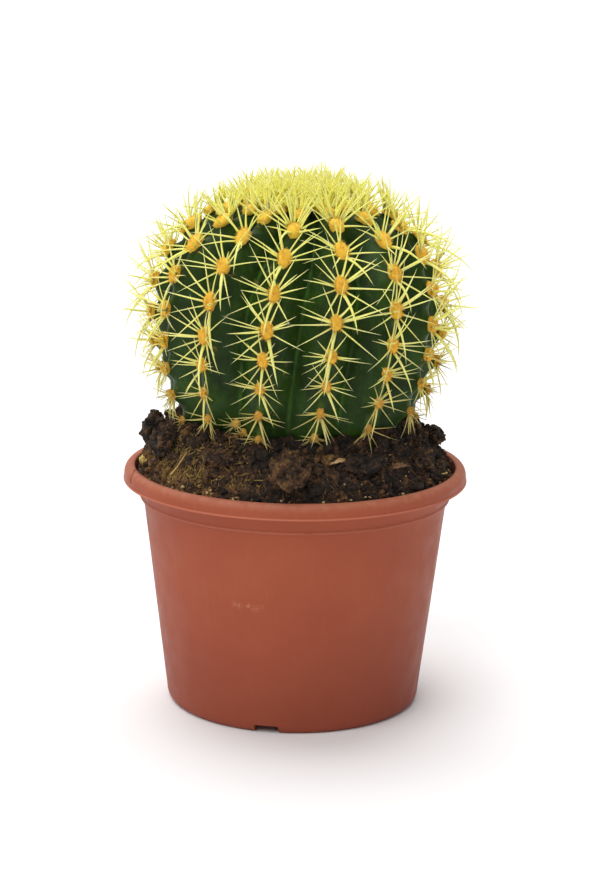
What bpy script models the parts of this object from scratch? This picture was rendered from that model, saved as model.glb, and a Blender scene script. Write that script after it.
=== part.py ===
"""Potted golden barrel cactus: a round ribbed cactus in peat, in a 13 cm terracotta-coloured plastic pot.

Metres, +Z up. The origin is at the centre of the pot's foot, on the surface that the pot stands on.
The front of the plant faces -Y. Azimuths are in degrees from -Y towards +X.
"""

import math

import bmesh
import bpy
import numpy as np
from mathutils import Matrix, Vector, noise

MM = 0.001

# ---- Driving dimensions: pot ----
LIP_RADIUS = 65.0 * MM  # the pot is a standard 13 cm size across its lip
POT_HEIGHT = 91.5 * MM
LIP_INNER_RADIUS = 60.6 * MM
LIP_SKIRT_BOTTOM = 84.9 * MM
WALL_TOP_RADIUS = 57.4 * MM
WALL_TOP = 79.1 * MM
WALL_FOOT_RADIUS = 48.3 * MM
FOOT_RADIUS = 45.6 * MM
FOOT_CORNER = 3.4 * MM  # height of the rounded corner between wall and foot
FOOT_RING_WIDTH = 2.6 * MM
WALL = 1.2 * MM
FLOOR_UNDERSIDE = 3.6 * MM
POT_SEGMENTS = 60

NOTCH_WIDTH = 8.7 * MM
NOTCH_HEIGHT = 2.4 * MM
NOTCH_AZIMUTHS = (-11.4, 108.6, 228.6)
DRAIN_HOLE_RADIUS = 3.0 * MM
DRAIN_HOLE_COUNT = 6
DRAIN_HOLE_CIRCLE = 28.0 * MM

# ---- Driving dimensions: cactus ----
RIB_COUNT = 14
RIB_PITCH = 360.0 / RIB_COUNT
FIRST_RIB_AZIMUTH = -37.6  # at the equator
EQUATOR_HEIGHT = 148.0 * MM
EQUATOR_RADIUS = 52.3 * MM  # over the rib crests
CROWN_RISE = 43.0 * MM  # from the equator to the top of the shoulder
CROWN_FULLNESS = 2.5  # superellipse exponent of the upper half
BASE_DROP = 64.0 * MM  # half-height of the ellipse that the lower half follows
LOWEST_PARAMETER = -72.0  # degrees down that ellipse where the root neck begins
CROWN_DIMPLE_DEPTH = 2.6 * MM
CROWN_DIMPLE_RADIUS = 13.0 * MM
GROOVE_DEPTH = 8.0 * MM
GROOVE_FADE_BOTTOM = 96.0 * MM  # the ribs grow out of the smooth buried base here
GROOVE_FADE_TOP = 132.0 * MM
TWIST_RATE = 143.5  # degrees per metre along the rib
TWIST_GAIN = 1960.0  # degrees per square metre, on the upper half only
NECK_RADIUS = 8.0 * MM
NECK_BOTTOM = 70.0 * MM
NECK_LENGTH = 12.0 * MM

# ---- Driving dimensions: areoles and spines ----
AREOLE_PHASES = (-0.1, 4.1, -5.0, -2.6, 1.2, 5.0, -2.8, 1.6, 5.6, -1.9, 2.2, -4.6, 0.9, -5.5)  # mm, rib by rib
SPACING_LOW = 10.7 * MM
SPACING_HIGH = 12.6 * MM
SPACING_CROWN = 6.0 * MM
LOWEST_AREOLE = -36.0 * MM  # along the rib from the equator
HIGHEST_AREOLE_RADIUS = 13.5 * MM
PAD_HALF_WIDTH = 2.3 * MM
PAD_HALF_LENGTH = 2.7 * MM
PAD_HEIGHT = 1.5 * MM
THREAD_HALF_WIDTH = 0.45 * MM
THREAD_HEIGHT = 0.7 * MM
SIDE_SPINE = 12.0 * MM
SIDE_LIFT = 6.5 * MM  # how far the slanted side spines stand off the rib
LEVEL_LIFT = 4.5 * MM  # the same for the level pair
SLANT = 4.6 * MM  # how far the slanted spines reach along the rib
CENTRAL_SPINE = 13.6 * MM
CROWN_SPINE = 16.0 * MM
SPINE_FLOOR = 112.0 * MM  # no spine reaches below this, so that all clear the peat

WOOL_RADIUS = 9.0 * MM
WOOL_THICKNESS = 3.0 * MM
WOOL_EDGE = 0.6 * MM

# ---- Driving dimensions: peat ----
PEAT_CONTACT_HEIGHT = 110.5 * MM  # where the peat meets the plant
PEAT_EDGE_HEIGHT = 87.5 * MM  # where the peat meets the pot
PEAT_HEAP = 1.5 * MM  # how much higher the peat lies on the left than on the right
GAP = 0.35 * MM  # clearance between touching pieces
PEAT_SEGMENTS = 48


# ---- Shared helpers ----
def clear_scene():
    for obj in list(bpy.data.objects):
        bpy.data.objects.remove(obj, do_unlink=True)


def principled(name, colour, roughness):
    material = bpy.data.materials.new(name)
    material.use_nodes = True
    shader = material.node_tree.nodes["Principled BSDF"]
    shader.inputs["Base Color"].default_value = (*colour, 1.0)
    shader.inputs["Roughness"].default_value = roughness
    shader.inputs["Metallic"].default_value = 0.0
    return material


def add_object(name, mesh_builder, colour, roughness, smooth_angle=None, find_outside=True):
    """Makes one object from a bmesh and gives it a material of its own."""
    if find_outside:
        bmesh.ops.recalc_face_normals(mesh_builder, faces=mesh_builder.faces)
    mesh = bpy.data.meshes.new(name)
    mesh_builder.to_mesh(mesh)
    mesh_builder.free()
    if smooth_angle is not None:
        mesh.shade_smooth()
        mesh.set_sharp_from_angle(angle=math.radians(smooth_angle))
    mesh.materials.append(principled(name, colour, roughness))
    obj = bpy.data.objects.new(name, mesh)
    bpy.context.collection.objects.link(obj)
    return obj


def on_azimuth(radius, azimuth, height):
    """The point at this radius and height, at an azimuth in degrees from -Y towards +X."""
    angle = math.radians(azimuth)
    return Vector((radius * math.sin(angle), -radius * math.cos(angle), height))


def bridge_rows(builder, rows):
    """Joins rows of vertices into quads. A row of one vertex closes the skin with a fan."""
    for lower, upper in zip(rows, rows[1:]):
        count = max(len(lower), len(upper))
        for i in range(count):
            corners = [
                lower[i % len(lower)],
                lower[(i + 1) % len(lower)],
                upper[(i + 1) % len(upper)],
                upper[i % len(upper)],
            ]
            unique = list(dict.fromkeys(corners))
            if len(unique) > 2:
                builder.faces.new(unique)


def revolve(profile, segments, height_at=None):
    """Turns (radius, height) points about Z. height_at(index, radius, azimuth, height) can shape a row."""
    builder = bmesh.new()
    rows = []
    for index, (radius, height) in enumerate(profile):
        if radius < 1e-6:
            rows.append([builder.verts.new((0.0, 0.0, height))])
            continue
        row = []
        for step in range(segments):
            azimuth = 360.0 * step / segments
            level = height_at(index, radius, azimuth, height) if height_at else height
            row.append(builder.verts.new(on_azimuth(radius, azimuth, level)))
        rows.append(row)
    bridge_rows(builder, rows)
    return builder


def arc(centre, radius, start, end, steps):
    """Points on an arc in the (radius, height) plane, with angles in degrees from +radius towards +height."""
    angles = np.radians(np.linspace(start, end, steps))
    return [(centre[0] + radius * math.cos(a), centre[1] + radius * math.sin(a)) for a in angles]


def smoothstep(low, high, value):
    t = min(max((value - low) / (high - low), 0.0), 1.0)
    return t * t * (3.0 - 2.0 * t)


# ---- Pot ----
def pot_inner_profile():
    """(radius, height) points down the inside of the pot, from the lip to the floor."""
    floor_top = FLOOR_UNDERSIDE + WALL
    corner = 2.0 * MM
    return [
        (LIP_INNER_RADIUS - 0.2 * MM, LIP_SKIRT_BOTTOM),
        (WALL_TOP_RADIUS - WALL, WALL_TOP - 1.5 * MM),
        (WALL_FOOT_RADIUS - WALL, floor_top + corner),
        (WALL_FOOT_RADIUS - WALL - corner, floor_top),
    ]


def make_pot():
    foot_inner = FOOT_RADIUS - FOOT_RING_WIDTH
    corner_width = WALL_FOOT_RADIUS - FOOT_RADIUS
    corner = [
        (
            FOOT_RADIUS + corner_width * math.sin(math.radians(a)),
            FOOT_CORNER * (1.0 - math.cos(math.radians(a))),
        )
        for a in (30, 60, 90)
    ]
    shoulder = [(58.9 * MM, 80.6 * MM), (60.6 * MM, 83.0 * MM), (61.4 * MM, 85.2 * MM)]
    skirt_inner = LIP_RADIUS - WALL
    skirt = [
        (61.6 * MM, 88.2 * MM),
        (skirt_inner, 88.2 * MM),
        (skirt_inner, LIP_SKIRT_BOTTOM),
        (LIP_RADIUS - 0.2 * MM, LIP_SKIRT_BOTTOM),
        (LIP_RADIUS, LIP_SKIRT_BOTTOM + 0.4 * MM),
        (LIP_RADIUS, 87.4 * MM),
    ]
    crest = arc((62.1 * MM, POT_HEIGHT - 3.1 * MM), 3.1 * MM, 20, 90, 5)
    underside = [(0.0, FLOOR_UNDERSIDE), (foot_inner - 1.5 * MM, FLOOR_UNDERSIDE)]
    profile = (
        underside
        + [(foot_inner, 0.0), (FOOT_RADIUS, 0.0)]
        + corner
        + [(WALL_TOP_RADIUS, WALL_TOP)]
        + shoulder
        + skirt
        + crest
        + [(LIP_INNER_RADIUS, POT_HEIGHT - 0.5 * MM)]
        + pot_inner_profile()
        + [(0.0, FLOOR_UNDERSIDE + WALL)]
    )
    pot = add_object("pot", revolve(profile, POT_SEGMENTS), (0.35, 0.095, 0.055), 0.5, 35)
    for azimuth in NOTCH_AZIMUTHS:
        cut(pot, notch_cutter(azimuth))
    cut(pot, drain_cutter(Vector((0.0, 0.0, FLOOR_UNDERSIDE))))
    for index in range(DRAIN_HOLE_COUNT):
        azimuth = (index + 0.5) * 360.0 / DRAIN_HOLE_COUNT
        cut(pot, drain_cutter(on_azimuth(DRAIN_HOLE_CIRCLE, azimuth, FLOOR_UNDERSIDE)))
    return pot


def cut(target, cutter):
    cutter.hide_render = True
    cutter.display_type = "WIRE"
    boolean = target.modifiers.new(cutter.name, "BOOLEAN")
    boolean.operation = "DIFFERENCE"
    boolean.solver = "EXACT"
    boolean.object = cutter


def notch_cutter(azimuth):
    """A block through the foot, square to it, as wide and as high as a drain notch."""
    builder = bmesh.new()
    bmesh.ops.create_cube(builder, size=1.0)
    depth = 12.0 * MM
    bmesh.ops.scale(builder, vec=(NOTCH_WIDTH, depth, 2.0 * NOTCH_HEIGHT), verts=builder.verts)
    bmesh.ops.translate(builder, vec=(0.0, -FOOT_RADIUS, 0.0), verts=builder.verts)
    turn = Matrix.Rotation(math.radians(azimuth), 4, "Z")
    bmesh.ops.transform(builder, matrix=turn, verts=builder.verts)
    return add_object(f"notch_cutter_{azimuth:.0f}", builder, (0.1, 0.1, 0.1), 0.5)


def drain_cutter(place):
    builder = bmesh.new()
    bmesh.ops.create_cone(
        builder,
        cap_ends=True,
        segments=12,
        radius1=DRAIN_HOLE_RADIUS,
        radius2=DRAIN_HOLE_RADIUS,
        depth=6.0 * WALL,
        matrix=Matrix.Translation(place) @ Matrix.Rotation(math.radians(7.0), 4, "Z"),
    )
    return add_object("drain_cutter", builder, (0.1, 0.1, 0.1), 0.5)


# ---- Cactus: the outline that every plant piece follows ----
class Meridian:
    """The outline of the rib crests, by distance along it from the equator, positive towards the crown."""

    def __init__(self):
        angles = np.radians(np.linspace(LOWEST_PARAMETER, 90.0, 1200))
        cosines = np.cos(angles).clip(0.0)
        sines = np.sin(angles)
        power = np.where(angles < 0.0, 1.0, 2.0 / CROWN_FULLNESS)
        rise = np.where(angles < 0.0, BASE_DROP, CROWN_RISE)
        self.radius = EQUATOR_RADIUS * cosines**power
        dimple = CROWN_DIMPLE_DEPTH * np.exp(-((self.radius / CROWN_DIMPLE_RADIUS) ** 2))
        self.height = EQUATOR_HEIGHT + rise * np.sign(sines) * np.abs(sines) ** power
        self.height -= np.where(angles > 0.0, dimple, 0.0)
        steps = np.hypot(np.diff(self.radius), np.diff(self.height))
        self.along = np.concatenate([[0.0], np.cumsum(steps)])
        self.along -= np.interp(0.0, angles, self.along)

    def at(self, along):
        """The (radius, height) at this distance along the outline."""
        radius = np.interp(along, self.along, self.radius)
        height = np.interp(along, self.along, self.height)
        return float(radius), float(height)

    def outward(self, along):
        """The (radius, height) direction square to the outline."""
        step = 0.3 * MM
        low = self.at(max(along - step, self.along[0]))
        high = self.at(min(along + step, self.along[-1]))
        direction = Vector((high[1] - low[1], low[0] - high[0]))
        return direction.normalized()

    def along_at_height(self, height):
        """The distance along the lower half at which the outline has this height."""
        return float(np.interp(height, self.height[self.along < 0.0], self.along[self.along < 0.0]))


MERIDIAN = Meridian()
CREST_END = float(MERIDIAN.along[-1])


def rib_twist(along):
    return TWIST_RATE * along + (TWIST_GAIN * along * along if along > 0.0 else 0.0)


def rib_azimuth(rib, along):
    return FIRST_RIB_AZIMUTH + rib * RIB_PITCH + rib_twist(along)


def groove_depth(along):
    radius, height = MERIDIAN.at(along)
    rooted = smoothstep(GROOVE_FADE_BOTTOM, GROOVE_FADE_TOP, height)
    return GROOVE_DEPTH * rooted * min(1.0, radius / (0.62 * EQUATOR_RADIUS))


def make_body():
    """The ribbed body, its smooth buried base and the root neck, as one skin."""
    groove_shape = (0.0, 0.5, 1.0, 0.5)  # depth at the crest, flank, groove and flank of each rib
    per_rib = len(groove_shape)
    builder = bmesh.new()
    rows = [[builder.verts.new((0.0, 0.0, NECK_BOTTOM))]]
    segments = RIB_COUNT * per_rib
    bottom_along = float(MERIDIAN.along[0])
    neck = ((0.7 * NECK_RADIUS, NECK_BOTTOM + 0.5 * MM), (NECK_RADIUS, NECK_BOTTOM + NECK_LENGTH))
    for radius, height in neck:
        row = []
        for step in range(segments):
            azimuth = rib_azimuth(step / per_rib, bottom_along)
            row.append(builder.verts.new(on_azimuth(radius, azimuth, height)))
        rows.append(row)
    levels = np.concatenate([np.linspace(bottom_along, 0.0, 10)[:-1], np.linspace(0.0, CREST_END, 13)[:-1]])
    for along in levels:
        radius, height = MERIDIAN.at(along)
        outward = MERIDIAN.outward(along)
        row = []
        for step in range(segments):
            depth = groove_depth(along) * groove_shape[step % per_rib]
            azimuth = rib_azimuth(step / per_rib, along)
            place = on_azimuth(radius - depth * outward.x, azimuth, height - depth * outward.y)
            row.append(builder.verts.new(place))
        rows.append(row)
    top_height = MERIDIAN.at(CREST_END)[1]
    rows.append([builder.verts.new((0.0, 0.0, top_height))])
    bridge_rows(builder, rows)
    return add_object("cactus_body", builder, (0.022, 0.062, 0.022), 0.4, 30)


# ---- Areoles and spines ----
def areole_places(phase):
    """Distances along a rib at which its areoles sit, from the peat to the crown."""
    places = [phase]
    while places[0] > LOWEST_AREOLE + SPACING_LOW:
        places.insert(0, places[0] - SPACING_LOW)
    while True:
        here = places[-1]
        growing = smoothstep(-20 * MM, 8 * MM, here)
        closing = smoothstep(34 * MM, 66 * MM, here)
        spacing = SPACING_LOW + (SPACING_HIGH - SPACING_LOW) * growing
        spacing += (SPACING_CROWN - spacing) * closing
        if here + spacing > CREST_END or MERIDIAN.at(here + spacing)[0] < HIGHEST_AREOLE_RADIUS:
            return places
        places.append(here + spacing)


class RibFrame:
    """Places points near one spot of a rib crest: across (to the right), up the rib, and outwards."""

    def __init__(self, rib, along):
        radius, height = MERIDIAN.at(along)
        outward = MERIDIAN.outward(along)
        self.azimuth = rib_azimuth(rib, along)
        angle = math.radians(self.azimuth)
        radial = Vector((math.sin(angle), -math.cos(angle), 0.0))
        self.centre = radial * radius + Vector((0.0, 0.0, height))
        self.across = Vector((math.cos(angle), math.sin(angle), 0.0))
        self.up = radial * -outward.y + Vector((0.0, 0.0, outward.x))
        self.out = radial * outward.x + Vector((0.0, 0.0, outward.y))
        self.radius = radius

    def point(self, across, up, out):
        return self.centre + self.across * across + self.up * up + self.out * out


def box_ring(builder, frame, half_width, height):
    """Four corners of the strip's section: two on the rib side, two outside."""
    top_width, top = 0.75 * half_width, GAP + height
    corners = ((-half_width, GAP), (half_width, GAP), (top_width, top), (-top_width, top))
    return [builder.verts.new(frame.point(across, 0.0, out)) for across, out in corners]


def strip_faces(builder, first, second):
    """The four quads between two rings: underside, right, top and left, facing out."""
    return [builder.faces.new((first[i], second[i], second[(i + 1) % 4], first[(i + 1) % 4])) for i in range(4)]


def grow_spine(builder, face, tip):
    """Pulls one face of a pad out into a four-sided spine."""
    apex = bmesh.ops.poke(builder, faces=[face])["verts"][0]
    apex.co = tip


def make_spine_row(rib):
    """The areole pads and spines of one rib, joined by a thin thread along its crest."""
    builder = bmesh.new()
    places = areole_places(AREOLE_PHASES[rib] * MM)
    previous = None
    spines = []
    for index, along in enumerate(places):
        frame = RibFrame(rib, along)
        near_crown = min(1.0, frame.radius / (24 * MM))
        spacing = along - places[index - 1] if index else SPACING_LOW
        crowding = min(1.0, spacing / SPACING_HIGH)
        low_down = 0.72 + 0.28 * smoothstep(LOWEST_AREOLE, -5 * MM, along)
        half_length = PAD_HALF_LENGTH * crowding * low_down
        half_width = PAD_HALF_WIDTH * near_crown * low_down
        rings = []
        for offset, wide in ((-1.35, False), (-0.6, True), (0.6, True), (1.35, False)):
            ring_frame = RibFrame(rib, along + offset * half_length)
            width = half_width if wide else THREAD_HALF_WIDTH
            height = PAD_HEIGHT * low_down if wide else THREAD_HEIGHT
            rings.append(box_ring(builder, ring_frame, width, height))
        if previous is None:
            builder.faces.new(rings[0])
        else:
            strip_faces(builder, previous, rings[0])
        sector = math.radians(RIB_PITCH / 2.0) * 0.8
        for level, (lower, upper) in enumerate(zip(rings, rings[1:])):
            faces = strip_faces(builder, lower, upper)
            rise = (-SLANT, 0.0, SLANT)[level] * crowding
            lift = (SIDE_LIFT, LEVEL_LIFT, SIDE_LIFT)[level]
            sector_limit = sector * (frame.radius + lift * frame.out.xy.length)
            reach = min(SIDE_SPINE * low_down - 0.5 * abs(rise), sector_limit)
            spines.append((faces[1], frame.point(reach, rise, lift)))
            spines.append((faces[3], frame.point(-reach, rise, lift)))
            central = CENTRAL_SPINE * low_down
            central += (CROWN_SPINE - CENTRAL_SPINE) * smoothstep(30 * MM, 50 * MM, along)
            spines.append((faces[2], frame.point(0.0, rise, central)))
        previous = rings[-1]
    builder.faces.new(previous[::-1])
    for face, tip in spines:
        tip.z = max(tip.z, SPINE_FLOOR)
        grow_spine(builder, face, tip)
    return add_object(f"spines_rib_{rib + 1:02d}", builder, (0.80, 0.66, 0.14), 0.45, find_outside=False)


def make_crown_wool():
    """The felted cap of young areoles in the middle of the crown, lying in its dimple."""
    steps = 5
    radii = [WOOL_RADIUS * step / steps for step in range(steps + 1)]
    underside = [(radius, crown_height(radius) + GAP) for radius in radii]
    top = []
    for radius, height in underside[::-1]:
        swell = math.cos(0.5 * math.pi * radius / WOOL_RADIUS)
        top.append((radius, height + WOOL_EDGE + (WOOL_THICKNESS - WOOL_EDGE) * swell))
    return add_object("crown_wool", revolve(underside + top, 28), (0.75, 0.50, 0.10), 0.9, 40)


def crown_height(radius):
    """Height of the crest outline at a radius on the crown."""
    upper = MERIDIAN.along > 0.0
    return float(np.interp(radius, MERIDIAN.radius[upper][::-1], MERIDIAN.height[upper][::-1]))


# ---- Peat ----
def peat_inner_radius():
    return MERIDIAN.at(MERIDIAN.along_at_height(PEAT_CONTACT_HEIGHT))[0] + GAP + 0.1 * MM


def peat_outer_radius():
    return LIP_INNER_RADIUS - 0.2 * MM - GAP


def peat_top(radius, azimuth):
    """Height of the mounded, uneven peat at a place."""
    inner, outer = peat_inner_radius(), peat_outer_radius()
    t = min(max((radius - inner) / (outer - inner), 0.0), 1.0)
    mound = PEAT_CONTACT_HEIGHT + (PEAT_EDGE_HEIGHT - PEAT_CONTACT_HEIGHT) * (0.6 * t + 0.4 * t * t)
    place = on_azimuth(radius, azimuth, 0.0) / (9.0 * MM)
    lumps = 1.3 * MM * noise.noise(place)
    heap = -PEAT_HEAP * math.sin(math.radians(azimuth))
    return mound + (lumps + heap) * math.sin(math.pi * t)


def make_peat():
    """The peat, as one solid that fills the pot, with a socket that fits the buried base of the plant."""
    inner, outer = peat_inner_radius(), peat_outer_radius()
    floor_top = FLOOR_UNDERSIDE + WALL
    top_rows = 7
    top = [(inner + (outer - inner) * i / (top_rows - 1), 0.0) for i in range(top_rows)]
    *sides, floor_edge = pot_inner_profile()
    wall = [(radius - GAP, height) for radius, height in sides]
    wall.append((floor_edge[0] - GAP, floor_edge[1] + GAP))
    socket_levels = np.linspace(float(MERIDIAN.along[0]), MERIDIAN.along_at_height(PEAT_CONTACT_HEIGHT), 6)[:-1]
    socket = []
    for along in socket_levels:
        radius, height = MERIDIAN.at(along)
        outward = MERIDIAN.outward(along)
        socket.append((radius + (GAP + 0.1 * MM) * outward.x, height + (GAP + 0.1 * MM) * outward.y))
    neck_radius = NECK_RADIUS + GAP
    neck = [
        (0.0, NECK_BOTTOM - GAP),
        (neck_radius, NECK_BOTTOM - GAP),
        (neck_radius, NECK_BOTTOM + NECK_LENGTH - GAP),
    ]
    profile = neck + socket + top + wall + [(0.0, floor_top + GAP)]
    first_top = len(neck) + len(socket)

    def level(index, radius, azimuth, height):
        on_top = first_top <= index < first_top + top_rows
        return peat_top(radius, azimuth) if on_top else height

    return add_object("peat", revolve(profile, PEAT_SEGMENTS, level), (0.035, 0.02, 0.012), 0.95, 40)


def make_lump(name, azimuth, radius, size, height, colour, points=9):
    """A loose piece that lies on the peat: a rough cap over a patch of its surface."""
    centre = on_azimuth(radius, azimuth, 0.0)
    radial = centre.normalized()
    across = Vector((-radial.y, radial.x, 0.0))
    builder = bmesh.new()
    rings = (0.45, 0.8, 1.0)

    def surface(spot):
        return peat_top(spot.xy.length, math.degrees(math.atan2(spot.x, -spot.y)))

    def vertex(share, step, top):
        angle = 2.0 * math.pi * step / points
        wobble = 1.0 + 0.22 * noise.noise(Vector((math.cos(angle), math.sin(angle), azimuth)) * 1.7)
        reach = across * math.cos(angle) * size[0] + radial * math.sin(angle) * size[1]
        spot = centre + reach * share * wobble * 0.5
        level = surface(spot) + 2.0 * GAP
        if top:
            bump = 1.0 + 0.35 * noise.noise(spot / (4.0 * MM))
            rise = 0.5 * MM + height * math.sqrt(max(1.0 - share * share, 0.0)) * bump
            level = max(min(level + rise, SPINE_FLOOR - 1.0 * MM), level + 0.5 * MM)
        return builder.verts.new((spot.x, spot.y, level))

    lower = [[vertex(share, i, False) for i in range(points)] for share in rings]
    upper = [[vertex(share, i, True) for i in range(points)] for share in rings[::-1]]
    bridge_rows(builder, [[vertex(0.0, 0, False)]] + lower + upper + [[vertex(0.0, 0, True)]])
    return add_object(name, builder, colour, 0.95, 50)


def make_straw(name, start, end, thickness):
    """A dry stem lying on the peat between two (azimuth, radius, lift) places."""
    ends = []
    for azimuth, radius, lift in (start, end):
        ends.append(on_azimuth(radius, azimuth, peat_top(radius, azimuth) + lift))
    direction = (ends[1] - ends[0]).normalized()
    side = direction.cross(Vector((0.0, 0.0, 1.0))).normalized()
    upright = side.cross(direction)
    builder = bmesh.new()
    rows = []
    for place in ends:
        corners = []
        for step in range(6):
            angle = math.pi * step / 3.0
            offset = side * math.cos(angle) + upright * math.sin(angle)
            corners.append(builder.verts.new(place + offset * thickness / 2.0))
        rows.append(corners)
    bridge_rows(builder, rows)
    builder.faces.new(rows[0])
    builder.faces.new(rows[1])
    return add_object(name, builder, (0.55, 0.42, 0.20), 0.7)


def make_peat_pieces():
    dark, brown, red = (0.03, 0.017, 0.010), (0.06, 0.032, 0.016), (0.09, 0.035, 0.02)
    lumps = (
        # name, azimuth, radius, (width, depth), height, colour; millimetres
        ("clod_front", -2, 51.5, (13, 11), 5.0, red),
        ("clod_front_left", -31, 51.0, (12, 9), 3.5, brown),
        ("clod_left", -66, 52.5, (13, 11), 6.5, dark),
        ("clod_left_back", -97, 54.0, (12, 9), 9.0, dark),
        ("clod_front_right", 29, 51.0, (15, 10), 4.5, dark),
        ("clod_right", 62, 52.5, (12, 9), 4.5, brown),
        ("clod_right_back", 92, 51.0, (13, 9), 6.0, dark),
        ("clod_back_right", 135, 52.0, (14, 10), 5.0, brown),
        ("clod_back", 176, 51.0, (13, 9), 4.0, dark),
        ("clod_back_left", -139, 52.5, (14, 9), 5.5, brown),
    )
    for name, azimuth, radius, size, height, colour in lumps:
        make_lump(name, azimuth, radius * MM, (size[0] * MM, size[1] * MM), height * MM, colour)
    make_lump("bark_chip", 44, 53.5 * MM, (5.5 * MM, 2.8 * MM), 0.8 * MM, (0.30, 0.19, 0.09), 7)
    make_lump("perlite_grain", -78, 58.0 * MM, (4.4 * MM, 2.4 * MM), 2.0 * MM, (0.38, 0.27, 0.08), 7)
    make_straw("straw_left", (-52.0, 57.6 * MM, 1.6 * MM), (-46.0, 53.0 * MM, 2.2 * MM), 0.7 * MM)
    make_straw("straw_right", (73.0, 58.8 * MM, 2.0 * MM), (67.5, 58.2 * MM, 1.6 * MM), 0.8 * MM)


clear_scene()
make_pot()
make_peat()
make_body()
for rib_index in range(RIB_COUNT):
    make_spine_row(rib_index)
make_crown_wool()
make_peat_pieces()
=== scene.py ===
"""Looks of the potted golden barrel cactus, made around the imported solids.

Metres, +Z up, in the frame of the CAD model: the origin is at the centre of the pot's foot.
The front of the plant faces -Y. Azimuths are in degrees from -Y towards +X.
"""

import math
import random

import bmesh
import bpy
import numpy as np
from mathutils import Matrix, Vector, noise


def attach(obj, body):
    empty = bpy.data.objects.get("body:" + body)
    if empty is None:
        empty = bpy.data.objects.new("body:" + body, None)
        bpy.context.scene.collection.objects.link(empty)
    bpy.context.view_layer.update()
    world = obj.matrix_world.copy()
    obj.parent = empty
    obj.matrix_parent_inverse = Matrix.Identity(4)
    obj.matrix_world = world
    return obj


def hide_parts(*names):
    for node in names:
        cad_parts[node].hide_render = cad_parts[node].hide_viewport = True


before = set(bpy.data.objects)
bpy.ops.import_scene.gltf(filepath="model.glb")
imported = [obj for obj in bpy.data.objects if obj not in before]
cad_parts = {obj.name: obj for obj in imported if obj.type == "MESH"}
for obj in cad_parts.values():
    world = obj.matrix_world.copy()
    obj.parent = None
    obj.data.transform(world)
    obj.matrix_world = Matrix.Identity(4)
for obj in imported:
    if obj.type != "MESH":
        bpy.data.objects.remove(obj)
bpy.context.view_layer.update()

MM = 0.001
UP = Vector((0.0, 0.0, 1.0))
GOLDEN_ANGLE = 137.5  # degrees from one young spine to the next, as plants grow

# ---- Camera: the place, aim and lens of the view ----
CAMERA_ELEVATION = 13.27
CAMERA_DISTANCE = 0.9
CAMERA_AIM = 0.1  # height on the pot's axis that the camera looks at
CAMERA_ROLL = 0.74
CAMERA_LENS = 96.49  # millimetres, on a sensor 36 mm high
CAMERA_SHIFT = (0.0004, -0.0041)
AMBIENT = 0.36  # strength of the light from all round
BACKDROP = 1.02  # how bright the camera sees the background

# ---- Pot ----
POT_HEIGHT = 91.5 * MM
LIP_RADIUS = 65.0 * MM
LIP_INNER_RADIUS = 60.6 * MM
FOOT_RADIUS = 45.6 * MM
FLOOR_UNDERSIDE = 3.6 * MM
FLOOR_TOP = 4.8 * MM
POT_SEGMENTS = 300
POT_SHARP_ANGLE = 40  # degrees
NOTCH_WIDTH = 9.2 * MM
NOTCH_HEIGHT = 3.0 * MM
NOTCH_AZIMUTHS = (-11.4, 108.6, 228.6)
DRAIN_HOLE_RADIUS = 3.0 * MM
DRAIN_HOLE_CIRCLE = 28.0 * MM
DRAIN_HOLE_COUNT = 6
LIP_CREASE_AZIMUTH = -74.5
SCUFF_RADIUS = 54.0 * MM
SCUFFS = (  # azimuth, height and reach of the rubbed spots
    (-24.0, 50.5 * MM, 1.6 * MM),
    (-21.2, 49.9 * MM, 2.2 * MM),
    (-17.6, 50.3 * MM, 1.5 * MM),
    (-14.8, 49.5 * MM, 2.6 * MM),
    (-12.6, 50.1 * MM, 1.8 * MM),
)
WORN_AND_HIGHLIT_EDGES = (79.6 * MM, 86.25 * MM)  # heights of the shoulder's bead and of the lip's lower edge, painted as paler lines of wear and of highlight

# ---- Cactus outline, as in the CAD model ----
RIB_COUNT = 14
RIB_PITCH = 360.0 / RIB_COUNT
FIRST_RIB_AZIMUTH = -37.6
EQUATOR_HEIGHT = 148.0 * MM
EQUATOR_RADIUS = 52.3 * MM
CROWN_RISE = 43.0 * MM
CROWN_FULLNESS = 2.5
BASE_DROP = 64.0 * MM
LOWEST_PARAMETER = -72.0
CROWN_DIMPLE_DEPTH = 2.6 * MM
CROWN_DIMPLE_RADIUS = 13.0 * MM
GROOVE_DEPTH = 8.0 * MM
GROOVE_FADE_BOTTOM = 96.0 * MM
GROOVE_FADE_TOP = 132.0 * MM
TWIST_RATE = 143.5
TWIST_GAIN = 1960.0
NECK_RADIUS = 8.0 * MM
NECK_BOTTOM = 70.0 * MM
NECK_LENGTH = 12.0 * MM

# ---- Areoles ----
AREOLE_PHASES = (-0.1, 4.1, -5.0, -2.6, 1.2, 5.0, -2.8, 1.6, 5.6, -1.9, 2.2, -4.6, 0.9, -5.5)  # mm, by rib
SPACING_LOW = 10.7 * MM
SPACING_HIGH = 12.6 * MM
SPACING_CROWN = 5.4 * MM
LOWEST_AREOLE = -41.0 * MM
HIGHEST_AREOLE_RADIUS = 8.5 * MM
CHIN = 1.9 * MM  # how far the rib swells under each areole
NICK = 0.55 * MM  # how deep the rib is nicked above each areole

# ---- The halo that the tips of the spines make ----
HALO_RADIUS = 74.0 * MM
HALO_CENTRE = Vector((1.2 * MM, 0.0))
HALO_HEIGHT = 150.0 * MM
HALO_RISE = 55.5 * MM
HALO_SQUARENESS = 2.4  # 2 is an ellipse, and more has fuller shoulders

# ---- Felt pads and the brush of young spines on the crown ----
PAD_HALF_WIDTH = 2.3 * MM
PAD_HALF_LENGTH = 3.3 * MM
PAD_HEIGHT = 2.4 * MM
WOOL_RADIUS = 11.5 * MM
WOOL_THICKNESS = 3.4 * MM
WOOL_STRANDS = 1100
BRUSH_RADIUS = 11.0 * MM
BRUSH_SPINES = 72

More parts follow.
